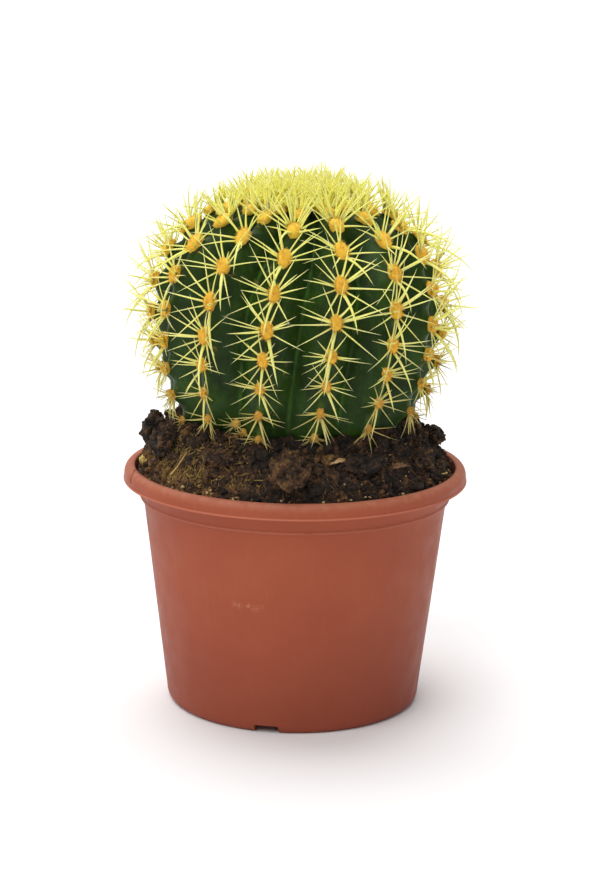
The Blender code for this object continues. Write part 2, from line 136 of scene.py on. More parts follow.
# ---- Peat ----
PEAT_CONTACT_HEIGHT = 110.5 * MM
PEAT_EDGE_HEIGHT = 87.5 * MM
PEAT_HEAP = 1.5 * MM
FIBRE_COUNT = 1100
FLECK_COUNT = 150
GAP = 0.35 * MM


# ---- Shared helpers ----
def srgb(red, green, blue):
    """A colour as a screen shows it, from 0 to 255, in the linear values that the nodes use."""
    values = []
    for channel in (red, green, blue):
        share = channel / 255.0
        values.append(share / 12.92 if share <= 0.04045 else ((share + 0.055) / 1.055) ** 2.4)
    return (*values, 1.0)


def smoothstep(low, high, value):
    t = np.clip((value - low) / (high - low), 0.0, 1.0)
    return t * t * (3.0 - 2.0 * t)


def on_azimuth(radius, azimuth, height):
    angle = math.radians(azimuth)
    return Vector((radius * math.sin(angle), -radius * math.cos(angle), height))


def on_ball(turn, polar):
    """A place on the unit ball, with both angles in radians and the polar one from its top."""
    return Vector((math.cos(turn) * math.sin(polar), math.sin(turn) * math.sin(polar), math.cos(polar)))


def jitter(rng, sideways=1.0, upwards=1.0):
    """A random vector, with its spread sideways and upwards."""
    return Vector((rng.gauss(0, sideways), rng.gauss(0, sideways), rng.gauss(0, upwards)))


def azimuth_of(place):
    return math.degrees(math.atan2(place[0], -place[1]))


def fractal(place, feature, octaves=4):
    """Noise from about -1 to 1 whose largest lumps are one feature wide."""
    return noise.fractal(Vector(place) / feature, 0.9, 2.1, octaves)


def new_object(name, data):
    thing = bpy.data.objects.new(name, data)
    bpy.context.collection.objects.link(thing)
    return thing


class Mesher:
    """Collects patches of vertices and faces, with numbers for each vertex that the materials read."""

    def __init__(self):
        self.points = []
        self.faces = []
        self.tones = []
        self.shares = []
        self.count = 0

    def add(self, points, faces, tone=0.5, share=0.0):
        points = np.asarray(points, float).reshape(-1, 3)
        self.points.append(points)
        self.faces.extend([tuple(corner + self.count for corner in face) for face in faces])
        self.tones.append(np.broadcast_to(tone, len(points)))
        self.shares.append(np.broadcast_to(share, len(points)))
        self.count += len(points)

    def build(self, name, look, slot, *replaced, sharp_angle=None):
        mesh = bpy.data.meshes.new(name)
        mesh.from_pydata(np.concatenate(self.points).tolist(), [], self.faces)
        for attribute, values in (("tone", self.tones), ("share", self.shares)):
            layer = mesh.attributes.new(attribute, "FLOAT", "POINT")
            layer.data.foreach_set("value", np.concatenate(values).astype(np.float32))
        mesh.shade_smooth()
        if sharp_angle is not None:
            mesh.set_sharp_from_angle(angle=math.radians(sharp_angle))
        mesh.materials.append(look)
        piece = new_object(name, mesh)
        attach(piece, "root")
        if replaced:
            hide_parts(*replaced)
        return piece


def grid_faces(rows, columns):
    """Quads between rows of vertices that each run round in a ring."""
    faces = []
    for low in range(0, (rows - 1) * columns, columns):
        for column in range(columns):
            after = (column + 1) % columns
            faces.append((low + column, low + after, low + columns + after, low + columns + column))
    return faces


def capped_faces(rows, columns):
    """The quads of a tube, with a flat face on each of its ends."""
    last = (rows - 1) * columns
    return grid_faces(rows, columns) + [tuple(range(columns))[::-1], tuple(range(last, last + columns))]


def fanned_faces(rows, columns):
    """The quads of a tube, with fans on its ends to their middles: two more vertices, the start's first."""
    ends = rows * columns
    faces = grid_faces(rows, columns)
    for step in range(columns):
        after = (step + 1) % columns
        faces += [(after, step, ends), (ends - columns + step, ends - columns + after, ends + 1)]
    return faces


def dome_faces(rings, columns):
    """Faces over rings that go outwards from a dome's top, which is the last vertex. Closed below."""
    top = rings * columns
    faces = [face[::-1] for face in grid_faces(rings, columns)]
    faces += [(step, (step + 1) % columns, top) for step in range(columns)]
    return faces + [tuple(range(top - columns, top))[::-1]]


def ellipse_arc(centre, radii, start, end, steps):
    """Points on an arc in the (radius, height) plane, with angles in degrees from +radius towards +height."""
    angles = np.radians(np.linspace(start, end, steps))
    return [(centre[0] + radii[0] * math.cos(a), centre[1] + radii[1] * math.sin(a)) for a in angles]


def arc(centre, radius, start, end, steps):
    return ellipse_arc(centre, (radius, radius), start, end, steps)


# ---- Materials ----
class Look:
    """A material made of nodes around one Principled shader. Patterns are placed by object coordinates."""

    def __init__(self, name, roughness, **constants):
        self.material = bpy.data.materials.new(name)
        self.material.use_nodes = True
        self.tree = self.material.node_tree
        self.shader = self.tree.nodes["Principled BSDF"]
        self.place = self.tree.nodes.new("ShaderNodeTexCoord").outputs["Object"]
        self.normal = None
        for socket, value in {"Roughness": roughness, **constants}.items():
            self.shader.inputs[socket.replace("_", " ")].default_value = value

    def fill(self, socket, value):
        if isinstance(value, bpy.types.NodeSocket):
            self.tree.links.new(value, socket)
        else:
            socket.default_value = value

    def shade(self, name, value):
        self.fill(self.shader.inputs[name], value)

    def node(self, kind, output, sockets=(), **options):
        """Adds a node, sets its options, fills its sockets with values or links, and returns one output."""
        node = self.tree.nodes.new("ShaderNode" + kind)
        for option, value in options.items():
            setattr(node, option, value)
        for socket, value in dict(sockets).items():
            self.fill(node.inputs[socket], value)
        return node.outputs[output]

    def stretched(self, x, y, z):
        return self.node("Mapping", "Vector", {"Vector": self.place, "Scale": (x, y, z)})

    def noise(self, feature, detail=4.0, roughness=0.55, distortion=0.0, place=None):
        sockets = {"Vector": place or self.place, "Scale": 1.0 / feature, "Detail": detail}
        return self.node("TexNoise", "Fac", {**sockets, "Roughness": roughness, "Distortion": distortion})

    def cells(self, feature):
        return self.node("TexVoronoi", "Distance", {"Vector": self.place, "Scale": 1.0 / feature})

    def attribute(self, name):
        return self.node("Attribute", "Fac", attribute_name=name)

    def axis(self, name):
        return self.node("SeparateXYZ", name, {"Vector": self.place})

    def distance_to(self, place):
        return self.node("VectorMath", "Value", {0: self.place, 1: place}, operation="DISTANCE")

    def math(self, operation, first, second=0.0):
        return self.node("Math", "Value", {0: first, 1: second}, operation=operation)

    def band(self, value, low, high, start=0.0, end=1.0):
        """Goes smoothly from start to end as the value goes from low to high."""
        sockets = {"Value": value, "From Min": low, "From Max": high, "To Min": start, "To Max": end}
        return self.node("MapRange", "Result", sockets, interpolation_type="SMOOTHSTEP")

    def ramp(self, value, *stops):
        """Colours by value. Each stop is its position and its screen colour."""
        colours = self.node("ValToRGB", "Color", {"Fac": value})
        elements = colours.node.color_ramp.elements
        while len(elements) < len(stops):
            elements.new(0.5)
        for element, (position, *colour) in zip(elements, stops):
            element.position = position
            element.color = srgb(*colour)
        return colours

    def mix(self, share, first, second):
        return self.node("Mix", 2, {0: share, 6: first, 7: second}, data_type="RGBA")

    def over(self, base, colour, strength, *masks):
        """Lays a screen colour over the base, as strongly as the strength times every mask."""
        for mask in masks:
            strength = self.math("MULTIPLY", mask, strength)
        return self.mix(strength, base, srgb(*colour))

    def relief(self, height, depth):
        """Adds a bump of this depth in metres on top of those before it."""
        sockets = {"Height": height, "Distance": depth}
        if self.normal is not None:
            sockets["Normal"] = self.normal
        self.normal = self.node("Bump", "Normal", sockets)
        self.shade("Normal", self.normal)


def pot_look():
    """Satin terracotta-coloured plastic: flow streaks, scuffs, soil at the lip, paler lines of wear and
    painted highlight along two edges, painted highlight on the lip's top, and painted shade in the lip's
    crease and towards the foot.
    """
    look = Look("pot_plastic", 0.5, Specular_IOR_Level=0.13)
    streaks = look.noise(1.6 * MM, place=look.stretched(1.0, 1.0, 0.05))
    height = look.axis("Z")
    base = look.mix(look.noise(30 * MM, 3.0), srgb(168, 87, 61), srgb(152, 75, 53))
    base = look.over(base, (172, 92, 66), 0.25, look.band(streaks, 0.5, 0.8))
    # Painted shade: the wall darker towards the foot
    base = look.over(base, (124, 58, 44), 0.42, look.band(height, 4 * MM, 60 * MM, 1.0, 0.0))
    # Painted highlight: the lip's top paler, in patches
    lip_top_highlight = look.band(height, 88 * MM, POT_HEIGHT)
    base = look.over(base, (205, 150, 122), 0.55, lip_top_highlight, look.noise(3 * MM, 6.0))
    # Paler lines along the bead and the lip's lower edge: partly wear, partly painted highlight
    for edge in WORN_AND_HIGHLIT_EDGES:
        away = look.math("ABSOLUTE", look.math("SUBTRACT", height, edge))
        wear_and_highlight = look.band(away, 0.12 * MM, 0.42 * MM, 1.0, 0.0)
        base = look.over(base, (206, 128, 104), 0.5, wear_and_highlight, look.band(look.noise(9 * MM), 0.15, 0.45))
    scuffs = 0.0
    for azimuth, spot_height, reach in SCUFFS:
        away = look.distance_to(on_azimuth(SCUFF_RADIUS, azimuth, spot_height))
        scuffs = look.math("MAXIMUM", look.band(away, 0.2 * MM, reach, 1.0, 0.0), scuffs)
    patchy = look.band(look.noise(1.5 * MM, 6.0, 0.85, 0.8), 0.44, 0.64)
    base = look.over(base, (204, 140, 118), 0.6, scuffs, patchy)
    soil = look.band(look.noise(1.1 * MM, 2.0), 0.68, 0.74)
    base = look.over(base, (88, 50, 36), 0.5, soil, look.band(height, 80 * MM, 91 * MM))
    # Painted shade: the lip's crease darker by its depth
    crease = look.band(look.attribute("tone"), 0.15, 0.9)
    base = look.over(base, (92, 44, 34), 0.75, crease)
    look.shade("Base Color", base)
    look.shade("Roughness", look.band(look.noise(8 * MM, 5.0), 0.3, 0.7, 0.42, 0.56))
    look.relief(look.noise(0.45 * MM, 2.0), 0.03 * MM)
    look.relief(streaks, 0.02 * MM)
    look.relief(look.noise(16 * MM, 2.0), 0.18 * MM)
    return look.material


def skin_look():
    """Waxy dark green skin, yellower in the grooves and by the areoles, with painted bluish sheen on the rib
    flanks, pores and scars.
    """
    glow = {"Subsurface_Weight": 0.06, "Subsurface_Scale": 2.0 * MM, "Subsurface_Radius": (0.4, 1.0, 0.25)}
    look = Look("cactus_skin", 0.4, Specular_IOR_Level=0.13, **glow)
    groove, areole = look.attribute("share"), look.attribute("tone")
    base = look.ramp(look.noise(11 * MM), (0.3, 26, 42, 14), (0.55, 38, 62, 17), (0.75, 54, 84, 22))
    streaks = look.noise(2.2 * MM, place=look.stretched(1.0, 1.0, 0.2))
    base = look.over(base, (54, 92, 22), 0.45, look.band(streaks, 0.5, 0.8))
    valley = look.band(groove, 0.84, 1.0)
    base = look.over(base, (60, 104, 24), 0.65, valley, look.band(look.noise(14 * MM), 0.4, 0.65))
    # Painted reflection: a bluish sheen in patches on the rib flanks
    painted_sheen = look.band(look.noise(8 * MM, 5.0), 0.5, 0.72)
    base = look.over(base, (50, 84, 58), 0.22, painted_sheen, look.band(groove, 0.1, 0.5))
    base = look.over(base, (92, 112, 30), 0.6, look.band(areole, 0.15, 0.95))
    pores = look.band(look.cells(0.55 * MM), 0.08, 0.22, 1.0, 0.0)
    base = look.over(base, (112, 140, 96), 0.22, pores)
    scars = look.band(look.noise(5.5 * MM, 7.0, 0.65), 0.625, 0.675)
    base = look.over(base, (122, 104, 60), 0.7, scars)
    look.shade("Base Color", base)
    rough = look.band(look.noise(6 * MM), 0.3, 0.7, 0.3, 0.5)
    look.shade("Roughness", look.math("ADD", rough, look.math("MULTIPLY", scars, 0.35)))
    look.relief(look.noise(1.3 * MM), 0.14 * MM)
    look.relief(scars, 0.2 * MM)
    look.relief(pores, 0.03 * MM)
    return look.material


def spine_look():
    """Ringed yellow spines: tan low on the plant, pale on the crown, orange at the root, with horny tips."""
    glow = {"Subsurface_Weight": 0.8, "Subsurface_Scale": 1.6 * MM, "Subsurface_Radius": (1.0, 0.85, 0.3)}
    look = Look("spines", 0.38, **glow)
    along = look.attribute("share")
    tone = look.math("ADD", look.attribute("tone"), look.band(look.noise(3 * MM, 2.0), 0.2, 0.8, -0.06, 0.06))
    low, middle = ((0.0, 190, 152, 84), (0.3, 230, 212, 126)), (0.6, 255, 242, 142)
    base = look.ramp(tone, *low, middle, (1.0, 255, 248, 130))
    base = look.over(base, (250, 196, 66), 0.6, look.band(along, 0.0, 0.14, 1.0, 0.0))
    fibres = look.noise(0.5 * MM, 3.0)
    base = look.over(base, (255, 250, 196), 0.3, look.band(fibres, 0.5, 0.8))
    base = look.over(base, (196, 152, 104), 0.5, look.band(along, 0.9, 1.0))
    look.shade("Base Color", base)
    look.relief(look.math("SINE", look.math("MULTIPLY", along, 150.0)), 0.02 * MM)
    look.relief(fibres, 0.03 * MM)
    return look.material


def felt_look():
    """Matted wool of the areoles: orange-yellow, paler at the fibre ends, tan and dirty low down."""
    look = Look("felt", 0.92, Sheen_Weight=0.35, Sheen_Roughness=0.5, Sheen_Tint=srgb(255, 226, 140))
    low, high = ((0.0, 214, 166, 84), (0.35, 246, 186, 60)), ((0.7, 255, 204, 62), (1.0, 255, 222, 80))
    base = look.ramp(look.attribute("tone"), *low, *high)
    base = look.over(base, (236, 152, 40), 0.45, look.band(look.noise(1.1 * MM), 0.42, 0.75))
    base = look.over(base, (255, 224, 116), 0.7, look.band(look.attribute("share"), 0.1, 0.9))
    look.shade("Base Color", base)
    look.relief(look.noise(0.3 * MM, 4.0, 0.7), 0.25 * MM)
    return look.material


def peat_look(name, shift=0.0):
    """Peat: nearly black to red-brown, with olive and golden shreds. Its tone numbers pick the colour."""
    look = Look(name, 0.93)
    speckle = look.noise(1.3 * MM, 6.0, 0.74, 0.3)
    tone = look.math("ADD", look.attribute("tone"), look.band(speckle, 0.3, 0.7, shift - 0.3, shift + 0.3))
    dark, brown = ((0.0, 14, 9, 6), (0.3, 36, 24, 15)), ((0.52, 66, 44, 25), (0.72, 106, 70, 38))
    base = look.ramp(tone, *dark, *brown, (0.9, 136, 104, 48))
    specks = look.band(look.noise(0.8 * MM, 3.0, 0.6), 0.68, 0.74)
    look.shade("Base Color", look.over(base, (150, 112, 72), 0.65, specks))
    look.shade("Roughness", look.band(look.noise(2.5 * MM, 3.0), 0.3, 0.7, 0.8, 0.98))
    look.relief(look.noise(0.7 * MM, 6.0, 0.75, 0.6), 0.7 * MM)
    return look.material


def litter_look(name, pale, dark, feature, roughness=0.75):
    """Dry plant matter or grit in two screen colours, with fine grain."""
    look = Look(name, roughness)
    grain = look.noise(feature, 5.0, 0.65)
    tone = look.math("ADD", look.attribute("tone"), look.band(grain, 0.25, 0.75, -0.4, 0.4))
    look.shade("Base Color", look.ramp(tone, (0.1, *dark), (0.9, *pale)))
    look.relief(grain, 0.25 * MM)
    return look.material


# ---- Pot ----
def pot_profile():
    """(radius, height) points of the pot's section: underside, foot, wall, shoulder, lip, inside, floor."""
    foot_inner = FOOT_RADIUS - 2.6 * MM
    points = [(0.0, FLOOR_UNDERSIDE)]
    points += [(step * 7.0 * MM, FLOOR_UNDERSIDE) for step in range(1, 6)]
    points += [(foot_inner - 1.8 * MM, FLOOR_UNDERSIDE), (foot_inner - 1.3 * MM, FLOOR_UNDERSIDE - 0.5 * MM)]
    points += arc((foot_inner + 0.4 * MM, 0.5 * MM), 0.5 * MM, 190, 270, 4)
    points += ellipse_arc((FOOT_RADIUS, 3.4 * MM), (2.7 * MM, 3.4 * MM), -90, -9, 10)  # the rounded foot edge
    for share in np.linspace(0.0, 1.0, 25):  # the wall
        points.append(((48.3 + 9.1 * share) * MM, (3.4 + 75.1 * share) * MM))
    points += [(57.5 * MM, 78.8 * MM), (57.8 * MM, 79.0 * MM)]
    points += arc((58.35 * MM, 79.4 * MM), 0.4 * MM, 250, 400, 9)  # the bead along the shoulder's lower edge
    for share in np.linspace(0.0, 1.0, 8):  # the flared shoulder
        points.append(((58.5 + 1.9 * share**1.6) * MM, (79.95 + 6.0 * share) * MM))
    points += [(60.8 * MM, 86.9 * MM), (61.6 * MM, 87.4 * MM), (63.3 * MM, 87.3 * MM), (64.0 * MM, 86.7 * MM)]
    points += arc((64.5 * MM, 86.05 * MM), 0.42 * MM, 190, 385, 11)  # the turned-out lower edge of the lip
    points += [(64.68 * MM, 86.55 * MM), (64.56 * MM, 86.95 * MM)]
    points += ellipse_arc((61.9 * MM, 88.0 * MM), (2.72 * MM, 3.5 * MM), -10, 98, 13)  # the rolled lip
    points += arc((61.3 * MM, POT_HEIGHT - 0.9 * MM), 0.8 * MM, 115, 180, 5)
    points += [(60.45 * MM, 88.0 * MM), (60.4 * MM, 84.9 * MM), (56.2 * MM, 77.6 * MM)]  # the inside
    points += [(51.6 * MM, 42.0 * MM), (47.1 * MM, 6.8 * MM)]
    points += [(radius * MM, FLOOR_TOP) for radius in (45.1, 22.0, 0.0)]
    return points


def lip_crease(radius, height, azimuth):
    """How deep a place is in the one crease across the lip: 1 in it, and just under 0 on the ridge by it."""
    if height < 84.0 * MM or radius < 60.0 * MM:
        return 0.0
    across = (azimuth - LIP_CREASE_AZIMUTH - (radius - 62.0 * MM) * 1500.0) / 0.8
    crease = math.exp(-across * across) - 0.35 * math.exp(-(((across - 3.0) / 2.0) ** 2))
    return crease * float(smoothstep(86.5 * MM, 90.0 * MM, height))


def pot_point(radius, height, azimuth):
    """A place on the pot, with the slight waviness of thin moulded plastic and the crease across its lip."""
    place = on_azimuth(radius, azimuth, height)
    radius += 0.16 * MM * noise.noise(place / (38.0 * MM)) * min(1.0, radius / LIP_RADIUS)
    crease = lip_crease(radius, height, azimuth)
    return on_azimuth(radius - 0.6 * MM * crease, azimuth, height - 1.0 * MM * crease)


def rounded_notch_cutter(azimuth):
    """A block with rounded upper corners that goes through the foot."""
    half, corner = NOTCH_WIDTH / 2.0, 0.7 * MM
    outline = [(-half, -2.0 * MM), (half, -2.0 * MM)]
    outline += arc((half - corner, NOTCH_HEIGHT - corner), corner, 0, 90, 5)
    outline += arc((corner - half, NOTCH_HEIGHT - corner), corner, 90, 180, 5)
    turn = Matrix.Rotation(math.radians(azimuth), 4, "Z")
    points = []
    for depth in (-FOOT_RADIUS - 6.0 * MM, -FOOT_RADIUS + 6.0 * MM):
        points += [turn @ Vector((x, depth, z)) for x, z in outline]
    return points, capped_faces(2, len(outline))


def drain_cutter(place):
    """A short upright cylinder for one drain hole."""
    count = 40
    turns = [360.0 * (step + 0.3) / count for step in range(count)]
    points = []
    for height in (-4.0 * MM, 4.0 * MM):
        points += [place + on_azimuth(DRAIN_HOLE_RADIUS, turn, height) for turn in turns]
    return points, capped_faces(2, count)


def make_pot():
    profile = pot_profile()
    azimuths = {-180.0 + 360.0 * step / POT_SEGMENTS for step in range(POT_SEGMENTS)}
    azimuths |= {LIP_CREASE_AZIMUTH + 0.25 * step for step in range(-24, 25)}  # the crease needs finer steps
    azimuths = sorted(azimuths)
    points = []
    # The crease depths also go to the material, which paints shade into the crease
    crease_shade_tones = []
    for radius, height in profile[1:-1]:
        points += [pot_point(radius, height, azimuth) for azimuth in azimuths]
        crease_shade_tones += [lip_crease(radius, height, azimuth) for azimuth in azimuths]
    points += [UP * height for _, height in (profile[0], profile[-1])]
    mesher = Mesher()
    mesher.add(points, fanned_faces(len(profile) - 2, len(azimuths)), crease_shade_tones + [0.0, 0.0])
    pot = mesher.build("pot_shell", pot_look(), "pot_plastic", "pot", sharp_angle=POT_SHARP_ANGLE)
    cutters = [rounded_notch_cutter(azimuth) for azimuth in NOTCH_AZIMUTHS]
    cutters.append(drain_cutter(UP * FLOOR_UNDERSIDE))
    for index in range(DRAIN_HOLE_COUNT):
        azimuth = (index + 0.5) * 360.0 / DRAIN_HOLE_COUNT
        cutters.append(drain_cutter(on_azimuth(DRAIN_HOLE_CIRCLE, azimuth, FLOOR_UNDERSIDE)))
    cut_away(pot, cutters)


def face_outwards(mesh):
    builder = bmesh.new()
    builder.from_mesh(mesh)
    bmesh.ops.recalc_face_normals(builder, faces=builder.faces)
    builder.to_mesh(mesh)
    builder.free()


def cut_away(piece, cutters):
    """Cuts all these closed shapes out of a piece in one step, and removes them."""
    points = []
    faces = []
    for cutter_points, cutter_faces in cutters:
        faces += [tuple(corner + len(points) for corner in face) for face in cutter_faces]
        points += cutter_points
    mesh = bpy.data.meshes.new("cutter")
    mesh.from_pydata(points, [], faces)
    face_outwards(mesh)
    cutter = new_object("cutter", mesh)
    boolean = piece.modifiers.new("cut", "BOOLEAN")
    boolean.operation = "DIFFERENCE"
    boolean.solver = "EXACT"
    boolean.object = cutter
    bpy.context.view_layer.update()
    graph = bpy.context.evaluated_depsgraph_get()
    cut_mesh = bpy.data.meshes.new_from_object(piece.evaluated_get(graph))
    piece.modifiers.clear()
    piece.data = cut_mesh
    cut_mesh.set_sharp_from_angle(angle=math.radians(POT_SHARP_ANGLE))
    bpy.data.objects.remove(cutter, do_unlink=True)


# ---- Cactus outline ----
class Meridian:
    """The outline of the rib crests, by distance along it from the equator, positive towards the crown."""

    def __init__(self):
        angles = np.radians(np.linspace(LOWEST_PARAMETER, 90.0, 1200))
        cosines = np.cos(angles).clip(0.0)
        sines = np.sin(angles)
        power = np.where(angles < 0.0, 1.0, 2.0 / CROWN_FULLNESS)
        rise = np.where(angles < 0.0, BASE_DROP, CROWN_RISE)
        self.radius = EQUATOR_RADIUS * cosines**power
        dimple = CROWN_DIMPLE_DEPTH * np.exp(-((self.radius / CROWN_DIMPLE_RADIUS) ** 2))
        self.height = EQUATOR_HEIGHT + rise * np.sign(sines) * np.abs(sines) ** power
        self.height -= np.where(angles > 0.0, dimple, 0.0)
        steps = np.hypot(np.diff(self.radius), np.diff(self.height))
        self.along = np.concatenate([[0.0], np.cumsum(steps)])
        self.along -= np.interp(0.0, angles, self.along)

    def at(self, along):
        """The (radius, height) of a crest at this distance along it."""
        return tuple(float(np.interp(along, self.along, values)) for values in (self.radius, self.height))

    def outward(self, along):
        """The (radius, height) direction square to the outline."""
        step = 0.3 * MM
        low = self.at(max(along - step, self.along[0]))
        high = self.at(min(along + step, self.along[-1]))
        return Vector((high[1] - low[1], low[0] - high[0])).normalized()

    def along_at_height(self, height):
        below = self.along < 0.0
        return float(np.interp(height, self.height[below], self.along[below]))


MERIDIAN = Meridian()
CREST_END = float(MERIDIAN.along[-1])


def rib_azimuth(rib, along):
    twist = TWIST_RATE * along + (TWIST_GAIN * along * along if along > 0.0 else 0.0)
    return FIRST_RIB_AZIMUTH + rib * RIB_PITCH + twist


def groove_depth(along):
    radius, height = MERIDIAN.at(along)
    rooted = smoothstep(GROOVE_FADE_BOTTOM, GROOVE_FADE_TOP, height)
    return GROOVE_DEPTH * rooted * min(1.0, radius / (0.62 * EQUATOR_RADIUS))


def areole_places(phase):
    """Distances along a rib at which its areoles sit, from the peat to the crown."""
    places = [phase]
    while places[0] > LOWEST_AREOLE + SPACING_LOW:
        places.insert(0, places[0] - SPACING_LOW)
    while True:
        here = places[-1]
        growing = smoothstep(-20 * MM, 8 * MM, here)
        closing = smoothstep(34 * MM, 66 * MM, here)
        spacing = SPACING_LOW + (SPACING_HIGH - SPACING_LOW) * growing
        spacing += (SPACING_CROWN - spacing) * closing
        if here + spacing > CREST_END or MERIDIAN.at(here + spacing)[0] < HIGHEST_AREOLE_RADIUS:
            return places
        places.append(here + spacing)


AREOLES = [areole_places(phase * MM) for phase in AREOLE_PHASES]


def crest_swell(rib, along):
    """How far a rib's crest stands out: a chin under each areole and a nick above it."""
    total = 0.0
    for place in AREOLES[rib]:
        crowding = 1.0 - 0.75 * smoothstep(34 * MM, 60 * MM, place)
        chin = math.exp(-(((along - place + 1.0 * MM) / (3.3 * MM)) ** 2))
        nick = math.exp(-(((along - place - 5.2 * MM) / (1.9 * MM)) ** 2))
        total += crowding * (CHIN * chin - NICK * nick)
    return total


def flank(distance):
    """Depth of the rib's section, from 0 at its crest to 1 in the groove."""
    crest_round = 0.3
    ridge = (math.hypot(distance, crest_round) - crest_round) / (math.hypot(1.0, crest_round) - crest_round)
    return 0.62 * ridge + 0.38 * distance**1.8


class RibFrame:
    """Places points near one spot of a rib crest: across (to the right), up the rib, and outwards."""

    def __init__(self, rib, along):
        radius, height = MERIDIAN.at(along)
        outward = MERIDIAN.outward(along)
        angle = math.radians(rib_azimuth(rib, along))
        radial = Vector((math.sin(angle), -math.cos(angle), 0.0))
        self.across = Vector((math.cos(angle), math.sin(angle), 0.0))
        self.up = radial * -outward.y + UP * outward.x
        self.out = radial * outward.x + UP * outward.y
        self.centre = radial * radius + UP * height
        if isinstance(rib, int):
            self.centre += self.out * crest_swell(rib, along)
        self.radius = radius

    def point(self, across, up, out):
        return self.centre + self.across * across + self.up * up + self.out * out

    def direction(self, angle, lift):
        """A direction at an angle from across towards up, lifted off the rib. Both are in radians."""
        level = self.across * math.cos(angle) + self.up * math.sin(angle)
        return (level * math.cos(lift) + self.out * math.sin(lift)).normalized()


def make_body():
    """The ribbed skin down to the root neck, with chins under the areoles and fine unevenness."""
    per_rib = 24
    columns = RIB_COUNT * per_rib
    bottom = float(MERIDIAN.along[0])
    buried, seen = np.linspace(bottom, -40 * MM, 14), np.linspace(-40 * MM, CREST_END, 216)
    levels = np.concatenate([buried[:-1], seen[:-1]])
    points = []
    neck = ((0.7 * NECK_RADIUS, NECK_BOTTOM + 0.5 * MM), (NECK_RADIUS, NECK_BOTTOM + NECK_LENGTH))
    for radius, height in neck:
        points += [on_azimuth(radius, rib_azimuth(step / per_rib, bottom), height) for step in range(columns)]
    tones, shares = [0.0] * len(points), [0.0] * len(points)
    for along in levels:
        radius, height = MERIDIAN.at(along)
        outward = MERIDIAN.outward(along)
        depth = groove_depth(along)
        swells = [crest_swell(rib, along) for rib in range(RIB_COUNT)]
        marks = [max(math.exp(-(((along - place) / (4.6 * MM)) ** 2)) for place in row) for row in AREOLES]
        for step in range(columns):
            phase = step / per_rib
            nearest = round(phase) % RIB_COUNT
            distance = 2.0 * abs(phase - round(phase))
            window = math.exp(-((distance * radius / (10.0 * MM)) ** 2))
            rough = on_azimuth(radius, rib_azimuth(phase, along), height)
            relief = 0.45 * MM * fractal(rough, 13 * MM, 3) * min(1.0, 2.0 * distance + 0.2)
            relief += 0.12 * MM * fractal(rough, 2.6 * MM, 3)
            offset = relief - depth * flank(distance) + swells[nearest] * window
            spot = (radius + offset * outward.x, rib_azimuth(phase, along), height + offset * outward.y)
            points.append(on_azimuth(*spot))
            tones.append(marks[nearest] * math.exp(-((distance * radius / (6.5 * MM)) ** 2)))
            shares.append(distance)
    points += [UP * NECK_BOTTOM, UP * MERIDIAN.at(CREST_END)[1]]
    mesher = Mesher()
    mesher.add(points, fanned_faces(2 + len(levels), columns), tones + [0.0, 0.0], shares + [0.0, 0.0])
    mesher.build("cactus_skin", skin_look(), "cactus_skin", "cactus_body")


# ---- Spines ----
class Spine:
    """One curved, tapered spine: root, direction, the way it curls, and its sizes."""

    def __init__(self, root, direction, curl_towards, length, width, curl, tone, flat=1.0):
        self.root = root
        self.direction = direction.normalized()
        across = curl_towards - self.direction * curl_towards.dot(self.direction)
        self.bend = across.normalized()
        self.length = length
        self.width = width
        self.curl = curl
        self.tone = tone
        self.flat = flat


def add_spines(mesher, spines, sides=6, steps=8):
    """Adds spines as closed tapered tubes, each of them bent in one plane."""
    share = np.linspace(0.0, 1.0, steps + 1)
    middle = (share[1:] + share[:-1]) / 2.0
    taper = (1.0 - share[:-1] ** 1.7) ** 0.85 * (1.0 + 0.25 * np.exp(-share[:-1] * 14.0))
    turn = math.tau * np.arange(sides) / sides
    faces = grid_faces(steps, sides)
    top = (steps - 1) * sides
    faces += [(top + i, top + (i + 1) % sides, steps * sides) for i in range(sides)]
    faces.append(tuple(range(sides))[::-1])
    shares = np.append(np.repeat(share[:-1], sides), 1.0)
    for spine in spines:
        direction, bend = np.array(spine.direction), np.array(spine.bend)
        side = np.cross(direction, bend)
        stride = spine.length / steps
        forward = np.append(0.0, np.cumsum(np.cos(spine.curl * middle)) * stride)
        sideways = np.append(0.0, np.cumsum(np.sin(spine.curl * middle)) * stride)
        centres = np.array(spine.root) + forward[:, None] * direction + sideways[:, None] * bend
        angle = (spine.curl * share[:-1])[:, None]
        normal = np.cos(angle) * bend - np.sin(angle) * direction
        radius = (0.5 * spine.width * taper)[:, None, None]
        across = spine.flat * np.cos(turn)[None, :, None] * side
        ring = across - np.sin(turn)[None, :, None] * normal[:, None, :]
        points = (centres[:-1, None, :] + radius * ring).reshape(-1, 3)
        mesher.add(np.vstack([points, centres[-1]]), faces, spine.tone, shares)


# Directions of the radial spines of one areole, in degrees from across towards up the rib
SIDE_ANGLES = (172, 150, 124, 98, 62, 34, 11, -13, -50, -128, -158)
LOW_ANGLES = (174, -168, -150, -126, -58, -30, -8, 8, 140)
CROWN_ANGLES = (178, 160, 142, 124, 107, 90, 73, 56, 38, 20, 2, -50, -128)


def spine_root(here, size, angle, crown):
    """A place on the rim of a felt pad. On the plant's side the spines leave the older, lower part of it."""
    shift = 0.4 * crown - 0.2 * (1.0 - crown)
    up = (0.8 * math.sin(angle) + shift) * size[1]
    return here.point(0.85 * size[0] * math.cos(angle), up, 0.2 * size[2])


